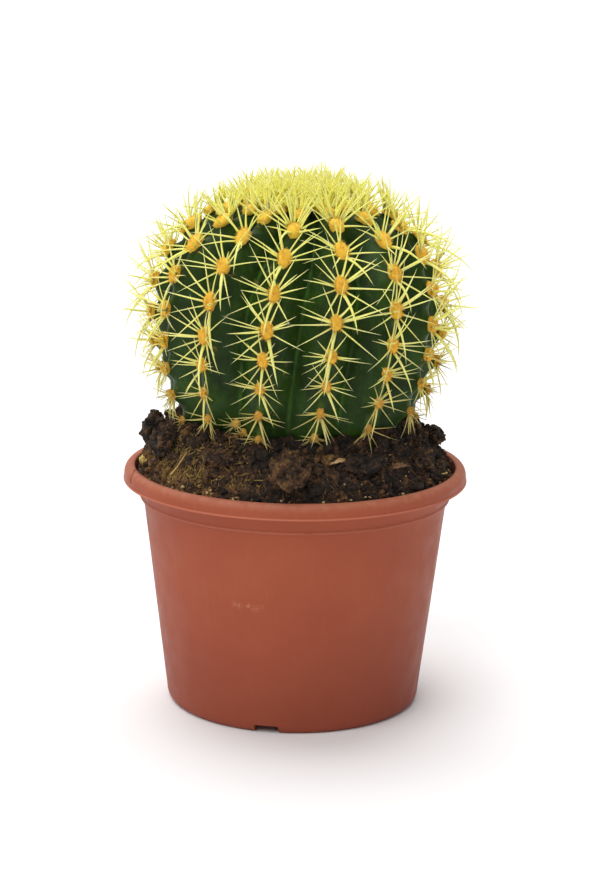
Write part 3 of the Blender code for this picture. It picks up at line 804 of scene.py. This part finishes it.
def areole_spines(here, along, size, rng):
    """The spines of one areole: radials spread over the ribs, centrals standing off, one curved down."""
    low = 1.0 - smoothstep(-38 * MM, -12 * MM, along)
    short = 1.0 - smoothstep(-12 * MM, 6 * MM, along)
    crown = smoothstep(32 * MM, 52 * MM, along)
    tone = 0.08 + 0.5 * smoothstep(-38 * MM, 4 * MM, along) + 0.42 * smoothstep(10 * MM, 44 * MM, along)
    inward = -here.out
    spines = []
    angles = LOW_ANGLES if low > 0.55 else CROWN_ANGLES if crown > 0.35 else SIDE_ANGLES
    for base in angles:
        if rng.random() < 0.08:
            continue
        angle = math.radians(base + rng.uniform(-9.0, 9.0))
        upwards = math.sin(angle)
        lift = math.radians(rng.uniform(16.0, 46.0) + 24.0 * crown)
        length = rng.uniform(14.5, 19.0) * MM * (1.0 - 0.36 * short) * (1.0 - 0.4 * low * max(upwards, 0.0))
        length *= (1.0 - 0.35 * crown * max(-upwards, 0.0)) * (0.8 + 0.2 * min(1.0, here.radius / (30 * MM)))
        start = spine_root(here, size, angle, crown)
        width = rng.uniform(0.52, 0.72) * MM * (1.0 - 0.16 * short - 0.16 * low + 0.35 * crown)
        curl = rng.uniform(0.0, 0.4)
        shade = tone + rng.uniform(-0.08, 0.08)
        spines.append(Spine(start, here.direction(angle, lift), inward, length, width, curl, shade))
    return spines + central_spines(here, size, (short, low, crown), tone, rng)


def central_spines(here, size, zones, tone, rng):
    short, low, crown = zones
    inward = -here.out
    down = -here.up
    main_angle = math.radians((90.0 if crown > 0.5 else -92.0) + rng.uniform(-34.0, 34.0) * (1.0 - 0.5 * low))
    main_lift = math.radians(rng.uniform(30.0, 48.0) * (1.0 - low) + 18.0 * low + 30.0 * crown)
    main_length = rng.uniform(20.5, 26.0) * MM * (1.0 - 0.44 * short) * (1.0 - 0.12 * crown)
    main_width = rng.uniform(0.85, 1.1) * MM * (1.0 - 0.18 * short - 0.16 * low)
    curl_towards = (down * rng.uniform(0.4, 1.0) + inward).normalized()
    direction = here.direction(main_angle, main_lift)
    curl = rng.uniform(0.5, 1.2) * (1.0 - 0.6 * short)
    start = spine_root(here, size, main_angle, crown)
    spines = [Spine(start, direction, curl_towards, main_length, main_width, curl, tone + 0.12, 1.3)]
    for base in (158.0, 18.0, 92.0) if low < 0.55 else (-70.0, -112.0):
        angle = math.radians(base + rng.uniform(-24.0, 24.0))
        lift = math.radians(rng.uniform(38.0, 70.0) - 18.0 * low + 10.0 * crown)
        length = rng.uniform(15.5, 20.0) * MM * (1.0 - 0.4 * short)
        width = rng.uniform(0.66, 0.86) * MM * (1.0 - 0.18 * short - 0.16 * low)
        shade = tone + rng.uniform(0.0, 0.12)
        direction = here.direction(angle, lift)
        start = spine_root(here, size, angle, crown)
        spines.append(Spine(start, direction, inward, length, width, rng.uniform(0.1, 0.5), shade, 1.15))
    return spines


def keep_inside_halo(spine, reach):
    """Shortens a spine whose tip would stand out of the rounded halo that the tips make together."""
    for _ in range(20):
        tip = spine.root + spine.direction * spine.length
        outwards = (tip.xy - HALO_CENTRE).length / HALO_RADIUS
        upwards = abs(tip.z - HALO_HEIGHT) / HALO_RISE
        if outwards**HALO_SQUARENESS + upwards**HALO_SQUARENESS < reach**HALO_SQUARENESS:
            return
        spine.length *= 0.96


def keep_above_peat(spine):
    """Turns a low spine up until its tip clears the peat."""
    for _ in range(12):
        tip = spine.root + spine.direction * spine.length
        if tip.z > peat_top(tip.xy.length, azimuth_of(tip)) - 0.5 * MM:
            return
        spine.direction = (spine.direction + UP * 0.12).normalized()
        spine.curl *= 0.6
        spine.length *= 0.97


def add_pad(pads, here, size, tone, rng, hairs=84):
    """A domed felt pad with loose hairs. The size is half its width, half its length and its height."""
    rings, columns = 7, 16
    half_width, half_length, height = size
    seed = Vector((rng.random(), rng.random(), rng.random())) * 40.0

    def swollen(ball):
        ball = ball * (1.0 + 0.22 * noise.noise(ball * 1.6 + seed) + 0.12 * noise.noise(ball * 5.0 + seed))
        return here.point(ball.x * half_width, ball.y * half_length, ball.z * height - 0.2 * MM)

    points = []
    for ring in range(1, rings + 1):
        polar = math.radians(112.0) * ring / rings
        for step in range(columns):
            points.append(swollen(on_ball(math.tau * step / columns, polar)))
    points.append(swollen(UP))
    pads.add(points, dome_faces(rings, columns), tone)
    strands = []
    for _ in range(hairs):
        ball = on_ball(rng.uniform(0.0, math.tau), math.radians(rng.uniform(0.0, 88.0)))
        start = here.point(ball.x * half_width, ball.y * half_length, (ball.z * height - 0.2 * MM) * 0.92)
        outward = here.across * ball.x + here.up * ball.y + here.out * (ball.z + 0.35)
        sway = jitter(rng)
        direction = outward.normalized() + sway * 0.35
        length = rng.uniform(0.6, 1.4) * MM
        strands.append(Spine(start, direction, sway, length, 0.14 * MM, rng.uniform(0.2, 1.2), tone))
    add_spines(pads, strands, sides=3, steps=3)


def make_rib(rib):
    """The felt pads and the spines of one rib, as two pieces."""
    rng = random.Random(700 + rib)
    pads, spines = Mesher(), Mesher()
    for along in AREOLES[rib]:
        here = RibFrame(rib, along)
        near_crown = min(1.0, here.radius / (22 * MM))
        low = 1.0 - smoothstep(-38 * MM, 8 * MM, along)
        crowding = 1.0 - 0.3 * smoothstep(40 * MM, 64 * MM, along)
        young = 1.0 + 0.18 * smoothstep(10 * MM, 40 * MM, along)
        half_width = PAD_HALF_WIDTH * (1.0 - 0.46 * low) * young * (0.6 + 0.4 * near_crown)
        half_width *= rng.uniform(0.93, 1.07)
        half_length = PAD_HALF_LENGTH * (1.0 - 0.54 * low) * young * crowding * rng.uniform(0.93, 1.07)
        size = (half_width, half_length, PAD_HEIGHT * (1.0 - 0.38 * low))
        tone = 0.12 + 0.4 * smoothstep(-38 * MM, 0.0, along) + 0.4 * smoothstep(10 * MM, 55 * MM, along)
        add_pad(pads, here, size, tone, rng)
        crowd = areole_spines(here, along, size, rng)
        tuft = rng.uniform(0.93, 1.05)
        for spine in crowd:
            keep_above_peat(spine)
            keep_inside_halo(spine, tuft * rng.uniform(0.93, 1.0))
        add_spines(spines, crowd)
    number = f"{rib + 1:02d}"
    pads.build(f"areoles_rib_{number}", FELT, "felt")
    spines.build(f"spines_of_rib_{number}", SPINES, "spines", f"spines_rib_{number}")


def crown_height(radius):
    upper = MERIDIAN.along > 0.0
    return float(np.interp(radius, MERIDIAN.radius[upper][::-1], MERIDIAN.height[upper][::-1]))


def make_crown():
    """The wool in the middle of the crown, and the brush of young spines that stands up out of it."""
    rng = random.Random(52)
    rings, columns = 14, 40
    wool = Mesher()
    points = []
    for ring in range(1, rings + 1):
        for step in range(columns):
            radius = WOOL_RADIUS * ring / rings
            place = on_azimuth(radius, 360.0 * step / columns, crown_height(radius))
            swell = WOOL_THICKNESS * (1.0 - (ring / rings) ** 2) - 0.8 * MM
            points.append(place + UP * (swell * (1.0 + 0.5 * fractal(place, 3 * MM, 3))))
    points.append(UP * (crown_height(0.0) + WOOL_THICKNESS - 0.8 * MM))
    wool.add(points, dome_faces(rings, columns), 0.85)
    strands = []
    for _ in range(WOOL_STRANDS):
        radius = WOOL_RADIUS * math.sqrt(rng.random())
        azimuth = rng.uniform(0.0, 360.0)
        swell = WOOL_THICKNESS * (1.0 - (radius / WOOL_RADIUS) ** 2) - 1.2 * MM
        start = on_azimuth(radius, azimuth, crown_height(radius) + swell)
        sway = jitter(rng, 1.0, 0.4)
        direction = UP + sway * 0.45
        length = rng.uniform(1.2, 2.8) * MM
        curl = rng.uniform(0.3, 1.4)
        strands.append(Spine(start, direction, sway, length, 0.17 * MM, curl, rng.uniform(0.6, 1.0)))
    add_spines(wool, strands, sides=3, steps=3)
    wool.build("crown_felt", FELT, "felt", "crown_wool")
    brush = Mesher()
    young = []
    for index in range(BRUSH_SPINES):
        radius = BRUSH_RADIUS * math.sqrt((index + 0.5) / BRUSH_SPINES)
        azimuth = index * GOLDEN_ANGLE
        start = on_azimuth(radius, azimuth, crown_height(radius) + 0.8 * MM)
        lean = on_azimuth(1.0, azimuth + rng.uniform(-50.0, 50.0), 0.0)
        direction = UP + lean * rng.uniform(0.05, 0.45)
        length = rng.uniform(8.5, 13.5) * MM * (0.6 + 0.4 * radius / BRUSH_RADIUS)
        width = rng.uniform(0.6, 0.9) * MM
        young.append(Spine(start, direction, -lean, length, width, rng.uniform(0.0, 0.4), 0.97))
        keep_inside_halo(young[-1], rng.uniform(0.88, 1.03))
    add_spines(brush, young)
    brush.build("crown_spines", SPINES, "spines")


def make_offset_buds():
    """Two stunted areoles in the groove between the first two ribs, right at the peat."""
    rng = random.Random(31)
    pads, spines = Mesher(), Mesher()
    for phase, along, lean in ((0.46, -36.0 * MM, 0.0), (0.62, -39.5 * MM, -20.0)):
        here = RibFrame(phase, along)
        here.centre -= here.out * (groove_depth(along) * flank(0.9) - 0.9 * MM)
        add_pad(pads, here, (1.5 * MM, 1.6 * MM, 1.7 * MM), 0.25, rng, hairs=40)
        for index in range(12):
            angle = math.radians(index * 30.0 + lean + rng.uniform(-12.0, 12.0))
            lift = math.radians(rng.uniform(18.0, 50.0))
            length = rng.uniform(5.0, 9.5) * MM
            start, direction = here.point(0.0, 0.0, 0.6 * MM), here.direction(angle, lift)
            curl, tone = rng.uniform(0.0, 0.3), rng.uniform(0.02, 0.25)
            spine = Spine(start, direction, -here.out, length, 0.42 * MM, curl, tone)
            keep_above_peat(spine)
            add_spines(spines, [spine])
    pads.build("offset_bud_felt", FELT, "felt")
    spines.build("offset_bud_spines", SPINES, "spines")


# ---- Peat and what lies on it ----
def peat_inner_radius():
    return MERIDIAN.at(MERIDIAN.along_at_height(PEAT_CONTACT_HEIGHT))[0] + GAP + 0.1 * MM


PEAT_INNER = peat_inner_radius()
PEAT_OUTER = LIP_INNER_RADIUS - 0.2 * MM - GAP


def peat_top(radius, azimuth):
    """Height of the mounded peat at a place, as in the CAD model."""
    t = min(max((radius - PEAT_INNER) / (PEAT_OUTER - PEAT_INNER), 0.0), 1.0)
    mound = PEAT_CONTACT_HEIGHT + (PEAT_EDGE_HEIGHT - PEAT_CONTACT_HEIGHT) * (0.6 * t + 0.4 * t * t)
    place = on_azimuth(radius, azimuth, 0.0) / (9.0 * MM)
    lumps = 1.3 * MM * noise.noise(place)
    heap = -PEAT_HEAP * math.sin(math.radians(azimuth))
    return mound + (lumps + heap) * math.sin(math.pi * t)


def peat_detail(place):
    """The crumbly roughness of the peat at a place on its surface."""
    lumps = 1.9 * MM * fractal(place, 4.6 * MM, 5)
    cells = noise.voronoi(Vector(place) / (2.1 * MM))[0]
    crumbs = 1.9 * MM * (0.45 - cells[0])
    return lumps + crumbs + 0.5 * MM * fractal(place, 1.1 * MM, 3)


def peat_tone(place):
    """Where the peat is darker, redder or more golden: fibrous and golden at the front left."""
    golden = math.exp(-(((azimuth_of(place) + 52.0) / 26.0) ** 2))
    golden *= smoothstep(50 * MM, 56 * MM, place.xy.length)
    return 0.37 + 0.22 * fractal(place, 8 * MM, 3) + 0.36 * golden


def surface_place(azimuth, radius, lift=0.0):
    place = on_azimuth(radius, azimuth, peat_top(radius, azimuth))
    place.z += peat_detail(place) * 0.6 + lift
    return place


def make_peat_bed():
    """The peat, rough on top, closed below along the pot's inside and the plant's base."""
    columns, top_rows = 560, 56
    floor_level = 5.2 * MM
    wall = [(60.0 * MM, 84.9 * MM), (55.8 * MM, 77.6 * MM), (46.7 * MM, 6.9 * MM), (44.7 * MM, floor_level)]
    under = [(10.0 * MM, floor_level), (10.0 * MM, 66.0 * MM), (30.0 * MM, 82.0 * MM)]
    points = []
    tones = []
    inner = PEAT_INNER - 2.2 * MM
    for row in range(top_rows):
        share = row / (top_rows - 1)
        for step in range(columns):
            azimuth = 360.0 * step / columns
            radius = inner + (PEAT_OUTER + 0.2 * MM - inner) * share
            place = on_azimuth(radius, azimuth, peat_top(radius, azimuth))
            rise = peat_detail(place) * (1.0 - 0.75 * smoothstep(0.97, 1.0, share))
            settled = 1.0 - 0.5 * smoothstep(0.85, 1.0, share)
            points.append(place + UP * (rise * settled))
            # Painted shade and highlight: the peat darker in its hollows and paler on its lumps, by their
            # height
            tones.append(peat_tone(place) + 0.14 * rise / MM)
    for radius, height in wall + under:
        points += [on_azimuth(radius, 360.0 * step / columns, height) for step in range(columns)]
    tones += [0.3] * (len(points) - len(tones))
    rows = top_rows + len(wall) + len(under)
    count = rows * columns
    closing = [tuple(corner % count for corner in face) for face in grid_faces(rows + 1, columns)[-columns:]]
    mesher = Mesher()
    mesher.add(points, grid_faces(rows, columns) + closing, tones)
    piece = mesher.build("peat_bed", PEAT, "peat", "peat")
    face_outwards(piece.data)


def ball_template(subdivisions):
    """The unit points and the faces of an even ball."""
    builder = bmesh.new()
    bmesh.ops.create_icosphere(builder, subdivisions=subdivisions, radius=1.0)
    points = [vertex.co.copy() for vertex in builder.verts]
    faces = [tuple(vertex.index for vertex in face.verts) for face in builder.faces]
    builder.free()
    return points, faces


def crumb_shapes(count, subdivisions, seed):
    """Angular, pitted crumbs of about unit size."""
    points, faces = ball_template(subdivisions)
    shapes = []
    for index in range(count):
        shift = Vector((seed + index * 7.3, index * 3.1, seed))
        shape = []
        for point in points:
            reach = 1.0 + 0.45 * noise.noise(point * 1.3 + shift) + 0.3 * noise.noise(point * 3.1 + shift)
            shape.append(point * reach)
        shapes.append(np.array(shape))
    return shapes, faces


SMALL_CRUMBS = crumb_shapes(10, 2, 3.0)
LARGE_CRUMBS = crumb_shapes(10, 3, 9.0)


def add_crumb(mesher, shapes, place, size, tone, rng):
    forms, faces = shapes
    turn = Matrix.Rotation(rng.uniform(0.0, 6.283), 3, jitter(rng))
    stretch = np.array([rng.uniform(0.6, 1.3), rng.uniform(0.6, 1.2), rng.uniform(0.5, 1.0)])
    shape = rng.choice(forms) * stretch * (size / 2.0)
    mesher.add(shape @ np.array(turn).T + np.array(place), faces, tone)


def make_crumbs():
    """Loose peat crumbs over the whole surface, many small ones and fewer large ones."""
    rng = random.Random(8)
    kinds = (
        # name, shapes, count, (inner, outer) margin and (least, most) size in millimetres,
        # how rare the large ones are, lift by their size, mean and spread of the shift in tone
        ("small", SMALL_CRUMBS, 2300, (1.0, 0.8), (0.75, 2.3), 2.2, 0.25, (0.06, 0.16)),
        ("large", LARGE_CRUMBS, 380, (2.5, 2.0), (1.9, 4.6), 2.6, 0.15, (0.0, 0.13)),
    )
    for name, shapes, count, (inner, outer), (least, most), rarity, lift, shift in kinds:
        mesher = Mesher()
        for _ in range(count):
            azimuth = rng.uniform(0.0, 360.0)
            radius = rng.uniform(PEAT_INNER + inner * MM, PEAT_OUTER - outer * MM)
            size = min(least * MM * rng.paretovariate(rarity), most * MM)
            place = surface_place(azimuth, radius, lift * size)
            add_crumb(mesher, shapes, place, size, peat_tone(place) + rng.gauss(*shift), rng)
        mesher.build(f"peat_crumbs_{name}", PEAT, "peat")


def make_clod(name, azimuth, radius, size, height, tone):
    """A rough crumbling lump of peat: a pitted body with crumbs stuck all over it."""
    rng = random.Random(name)
    points, faces = ball_template(6)
    centre = on_azimuth(radius, azimuth, 0.0)
    radial = centre.normalized()
    across = Vector((-radial.y, radial.x, 0.0))
    ground = peat_top(radius, azimuth)
    centre.z = ground + height * 0.25
    seed = Vector((rng.random(), rng.random(), rng.random())) * 30.0
    body = []
    tones = []
    for point in points:
        shape = 1.0 + 0.30 * noise.noise(point * 1.4 + seed) + 0.20 * fractal(point, 0.42, 4)
        cell = noise.voronoi(point * 2.7 + seed)[0][0]
        shape += 0.22 * (0.4 - cell)
        offset = across * point.x * size[0] * 0.5 + radial * point.y * size[1] * 0.5
        offset += UP * (point.z * height * 0.85)
        body.append(centre + offset * shape)
        # Painted shade and highlight: the clod darker in its pits and paler on its bulges
        tones.append(tone + 0.9 * (shape - 1.0))
    mesher = Mesher()
    mesher.add(body, faces, tones)
    for _ in range(70):
        index = rng.randrange(len(points))
        if points[index].z > -0.25:
            crumb_size = rng.uniform(0.7, 2.3) * MM
            add_crumb(mesher, SMALL_CRUMBS, body[index], crumb_size, tone + rng.gauss(0.05, 0.15), rng)
    mesher.build(f"peat_{name}", CLODS, "peat_clods", name)


def make_fibres():
    """Root hairs and moss shreds lying over the peat in loose curves, thickest at the front left."""
    rng = random.Random(14)
    groups = {"golden": Mesher(), "brown": Mesher()}
    for index in range(FIBRE_COUNT):
        kind = "golden" if index % 9 < 4 else "brown"
        gathered = kind == "golden" and rng.random() < 0.85
        azimuth = rng.gauss(-48.0, 20.0) if gathered else rng.uniform(0.0, 360.0)
        radius = rng.triangular(PEAT_INNER + 2.0 * MM, PEAT_OUTER - 1.5 * MM, PEAT_OUTER - 4.0 * MM)
        start = surface_place(azimuth, radius, 0.5 * MM)
        heading = rng.uniform(0.0, math.tau)
        direction = Vector((math.cos(heading), math.sin(heading), rng.uniform(-0.1, 0.5)))
        length = rng.uniform(1.5, 5.0) * MM
        tip = start + direction.normalized() * length
        if tip.xy.length > PEAT_OUTER - 0.5 * MM or tip.xy.length < PEAT_INNER - 2.0 * MM:
            continue
        tip_ground = peat_top(tip.xy.length, azimuth_of(tip)) + 0.9 * MM
        direction.z += (tip_ground - tip.z) / length
        sway = Vector((rng.gauss(0, 1), rng.gauss(0, 1), 0.3))
        width = rng.uniform(0.16, 0.4) * MM
        strand = Spine(start, direction, sway, length, width, rng.uniform(0.2, 1.5), rng.random())
        add_spines(groups[kind], [strand], sides=4, steps=6)
    groups["golden"].build("peat_fibres_golden", MOSS, "straw")
    groups["brown"].build("peat_fibres_brown", ROOTLETS, "peat")


def make_flecks():
    """Pale mineral grains and chaff, mostly along the front of the rim."""
    rng = random.Random(77)
    mesher = Mesher()
    for index in range(FLECK_COUNT):
        by_rim = index % 3 == 0
        azimuth = rng.gauss(8.0, 38.0) if by_rim else rng.uniform(0.0, 360.0)
        if by_rim:
            radius = PEAT_OUTER - rng.uniform(0.6, 2.2) * MM
        else:
            radius = rng.uniform(PEAT_INNER + 3 * MM, PEAT_OUTER)
        size = rng.uniform(0.35, 0.9) * MM * (1.5 if by_rim else 1.0)
        place = surface_place(azimuth, radius, 0.8 * MM)
        add_crumb(mesher, SMALL_CRUMBS, place, size, rng.uniform(0.1, 1.0), rng)
    mesher.build("peat_flecks", GRAINS, "mineral_grain")


def make_porous_grain():
    """The yellowish pumice grain by the left rim, with round pores."""
    points, faces = ball_template(5)
    radius, azimuth = 57.6 * MM, -78.0
    centre = on_azimuth(radius, azimuth, peat_top(radius, azimuth) + 2.2 * MM)
    shape = []
    tones = []
    for point in points:
        cell = noise.voronoi(point * 3.2 + Vector((4.0, 1.0, 7.0)))[0][0]
        reach = 1.0 + 0.2 * noise.noise(point * 1.5) - 0.42 * max(0.0, 0.42 - cell)
        stretched = Vector((point.x * 2.0 * MM, point.y * 2.5 * MM, point.z * 2.1 * MM))
        shape.append(centre + stretched * reach)
        # Painted shade: the grain darker in its sunken pores
        tones.append(0.5 + 1.6 * (cell - 0.42))
    mesher = Mesher()
    mesher.add(shape, faces, tones)
    mesher.build("porous_grain", PUMICE, "mineral_grain", "perlite_grain")


def make_bark_chip(name, look, azimuth, radius, *replaced):
    """A split chip of bark with a pointed, splintered end."""
    rng = random.Random(5)
    columns, rows = 18, 13
    centre = surface_place(azimuth, radius, 1.4 * MM)
    long_way = Vector((0.93, 0.30, 0.12)).normalized()
    wide_way = Vector((-0.28, 0.88, 0.38)).normalized()
    thick_way = long_way.cross(wide_way)
    points = []
    for row in range(rows):
        share = row / (rows - 1)
        width = 1.5 * MM * math.sin(math.pi * (0.10 + 0.85 * share)) ** 0.6
        bow = 0.7 * MM * math.sin(math.pi * share)
        for step in range(columns):
            turn = math.tau * step / columns
            across, out = math.cos(turn), math.sin(turn)
            ragged = 1.0 + 0.35 * noise.noise(Vector((share * 7.0, across * 1.5, out * 1.5)))
            place = centre + long_way * (share - 0.5) * 6.4 * MM + thick_way * (bow + out * 0.32 * MM)
            place += wide_way * across * width * ragged
            points.append(place)
    mesher = Mesher()
    mesher.add(points, capped_faces(rows, columns), 0.7)
    splinters = []
    for _ in range(7):
        side = rng.choice((-1.0, 1.0))
        start = centre + long_way * side * 2.6 * MM + wide_way * rng.uniform(-0.8, 0.8) * MM
        direction = long_way * side + jitter(rng, 0.25, 0.2)
        splinters.append(Spine(start, direction, thick_way, rng.uniform(1.2, 2.6) * MM, 0.4 * MM, 0.3, 0.9))
    add_spines(mesher, splinters, sides=4, steps=4)
    piece = mesher.build(name, look, "bark", *replaced)
    face_outwards(piece.data)


def make_straw(name, replaced, start, end, width, bow):
    """A dry stalk, slightly bowed, from one (azimuth, radius, lift) place to another."""
    ends = [on_azimuth(r, azimuth, peat_top(r, azimuth) + lift) for azimuth, r, lift in (start, end)]
    run = ends[1] - ends[0]
    mesher = Mesher()
    sag = UP * bow
    stalk = Spine(ends[0], run - sag, UP, run.length, width, 0.35, 0.8, 1.2)
    strip = Spine(ends[0], run + sag, Vector((1.0, 0.0, 0.3)), run.length / 2, width / 2, 0.5, 0.3)
    add_spines(mesher, [stalk, strip], sides=8, steps=12)
    mesher.build(name, STRAW, "straw", replaced)


def make_peat_pieces():
    make_peat_bed()
    make_crumbs()
    clods = (
        # CAD node, azimuth, radius, (width, depth), height, tone; millimetres
        ("clod_front", -2, 53.4, (14.5, 18.5), 8.0, 0.50),
        ("clod_front_left", -31, 51.0, (12, 9), 3.5, 0.40),
        ("clod_left", -66, 52.5, (13, 11), 6.5, 0.34),
        ("clod_left_back", -95, 53.5, (17, 11), 7.8, 0.34),
        ("clod_front_right", 29, 51.0, (15, 10), 4.5, 0.26),
        ("clod_right", 62, 52.5, (12, 9), 4.5, 0.38),
        ("clod_right_back", 92, 51.0, (14, 10), 4.4, 0.36),
        ("clod_back_right", 135, 52.0, (14, 10), 5.0, 0.36),
        ("clod_back", 176, 51.0, (13, 9), 4.0, 0.28),
        ("clod_back_left", -139, 52.5, (14, 9), 5.5, 0.38),
    )
    for name, azimuth, radius, size, height, tone in clods:
        make_clod(name, azimuth, radius * MM, (size[0] * MM, size[1] * MM), height * MM, tone)
    make_fibres()
    make_flecks()
    make_porous_grain()
    make_bark_chip("bark_chip_pale", BARK, 17.0, 50.5 * MM)
    make_bark_chip("bark_chip_old", OLD_BARK, 44.0, 53.5 * MM, "bark_chip")
    straw_left = ((-52.0, 57.6 * MM, 2.6 * MM), (-46.0, 53.0 * MM, 3.4 * MM))
    straw_right = ((73.0, 58.8 * MM, 3.0 * MM), (67.5, 58.2 * MM, 2.6 * MM))
    make_straw("straw_stalk_left", "straw_left", *straw_left, 0.55 * MM, 1.0 * MM)
    make_straw("straw_stalk_right", "straw_right", *straw_right, 0.7 * MM, 0.6 * MM)


# ---- Stage ----
def make_floor():
    look = Look("floor", 0.75)
    look.shade("Base Color", look.mix(look.noise(400 * MM, 2.0), srgb(243, 243, 243), srgb(249, 249, 249)))
    reach = 6.0
    mesh = bpy.data.meshes.new("floor")
    corners = [(-reach, -reach, 0.0), (reach, -reach, 0.0), (reach, reach, 0.0), (-reach, reach, 0.0)]
    mesh.from_pydata(corners, [], [(0, 1, 2, 3)])
    mesh.materials.append(look.material)
    floor = new_object("floor", mesh)


def add_sun(name, azimuth, elevation, strength, softness):
    """A broad soft light, given by where it comes from. The softness is its width in degrees."""
    light = bpy.data.lights.new(name, "SUN")
    light.energy = strength
    light.angle = math.radians(softness)
    lamp = new_object(name, light)
    height = math.radians(elevation)
    source = on_azimuth(math.cos(height), azimuth, math.sin(height))
    lamp.rotation_euler = source.to_track_quat("Z", "Y").to_euler()


def make_studio():
    world = bpy.data.worlds.new("studio")
    bpy.context.scene.world = world
    world.use_nodes = True
    tree = world.node_tree
    background = tree.nodes["Background"]
    background.inputs["Color"].default_value = (1.0, 1.0, 1.0, 1.0)
    # The camera sees a white backdrop, which lights the plant less than that
    seen = tree.nodes.new("ShaderNodeMapRange")
    seen.inputs["To Min"].default_value = AMBIENT
    seen.inputs["To Max"].default_value = BACKDROP
    tree.links.new(tree.nodes.new("ShaderNodeLightPath").outputs["Is Camera Ray"], seen.inputs["Value"])
    tree.links.new(seen.outputs["Result"], background.inputs["Strength"])
    add_sun("key", -34.0, 50.0, 1.3, 46.0)
    add_sun("back", -165.0, 66.0, 2.4, 60.0)
    bpy.context.scene.view_settings.view_transform = "Standard"
    bpy.context.scene.view_settings.look = "None"


def make_camera():
    data = bpy.data.cameras.new("camera")
    data.sensor_fit = "VERTICAL"
    data.sensor_height = 36.0
    data.lens = CAMERA_LENS
    data.shift_x, data.shift_y = CAMERA_SHIFT
    camera = new_object("camera", data)
    elevation = math.radians(CAMERA_ELEVATION)
    away = on_azimuth(CAMERA_DISTANCE * math.cos(elevation), 0.0, CAMERA_DISTANCE * math.sin(elevation))
    camera.location = away + UP * CAMERA_AIM
    tilt = Matrix.Rotation(math.radians(90.0) - elevation, 4, "X")
    camera.rotation_euler = (tilt @ Matrix.Rotation(math.radians(CAMERA_ROLL), 4, "Z")).to_euler()
    bpy.context.scene.camera = camera


FELT = felt_look()
SPINES = spine_look()
PEAT = peat_look("peat")
CLODS = peat_look("peat_clods", 0.02)
MOSS = litter_look("moss_shreds", (176, 146, 66), (84, 62, 26), 1.2 * MM)
ROOTLETS = litter_look("rootlets", (122, 84, 56), (40, 24, 18), 1.2 * MM)
GRAINS = litter_look("mineral_grains", (206, 176, 120), (120, 92, 52), 0.6 * MM)
PUMICE = litter_look("pumice", (206, 180, 96), (110, 80, 30), 0.7 * MM, 0.85)
BARK = litter_look("bark", (206, 168, 116), (124, 84, 50), 0.9 * MM)
OLD_BARK = litter_look("old_bark", (128, 90, 58), (66, 44, 28), 0.9 * MM)
STRAW = litter_look("straw", (206, 178, 104), (150, 116, 56), 0.8 * MM, 0.6)

make_camera()
make_floor()
make_studio()
make_pot()
make_body()
for rib_index in range(RIB_COUNT):
    make_rib(rib_index)
make_crown()
make_offset_buds()
make_peat_pieces()
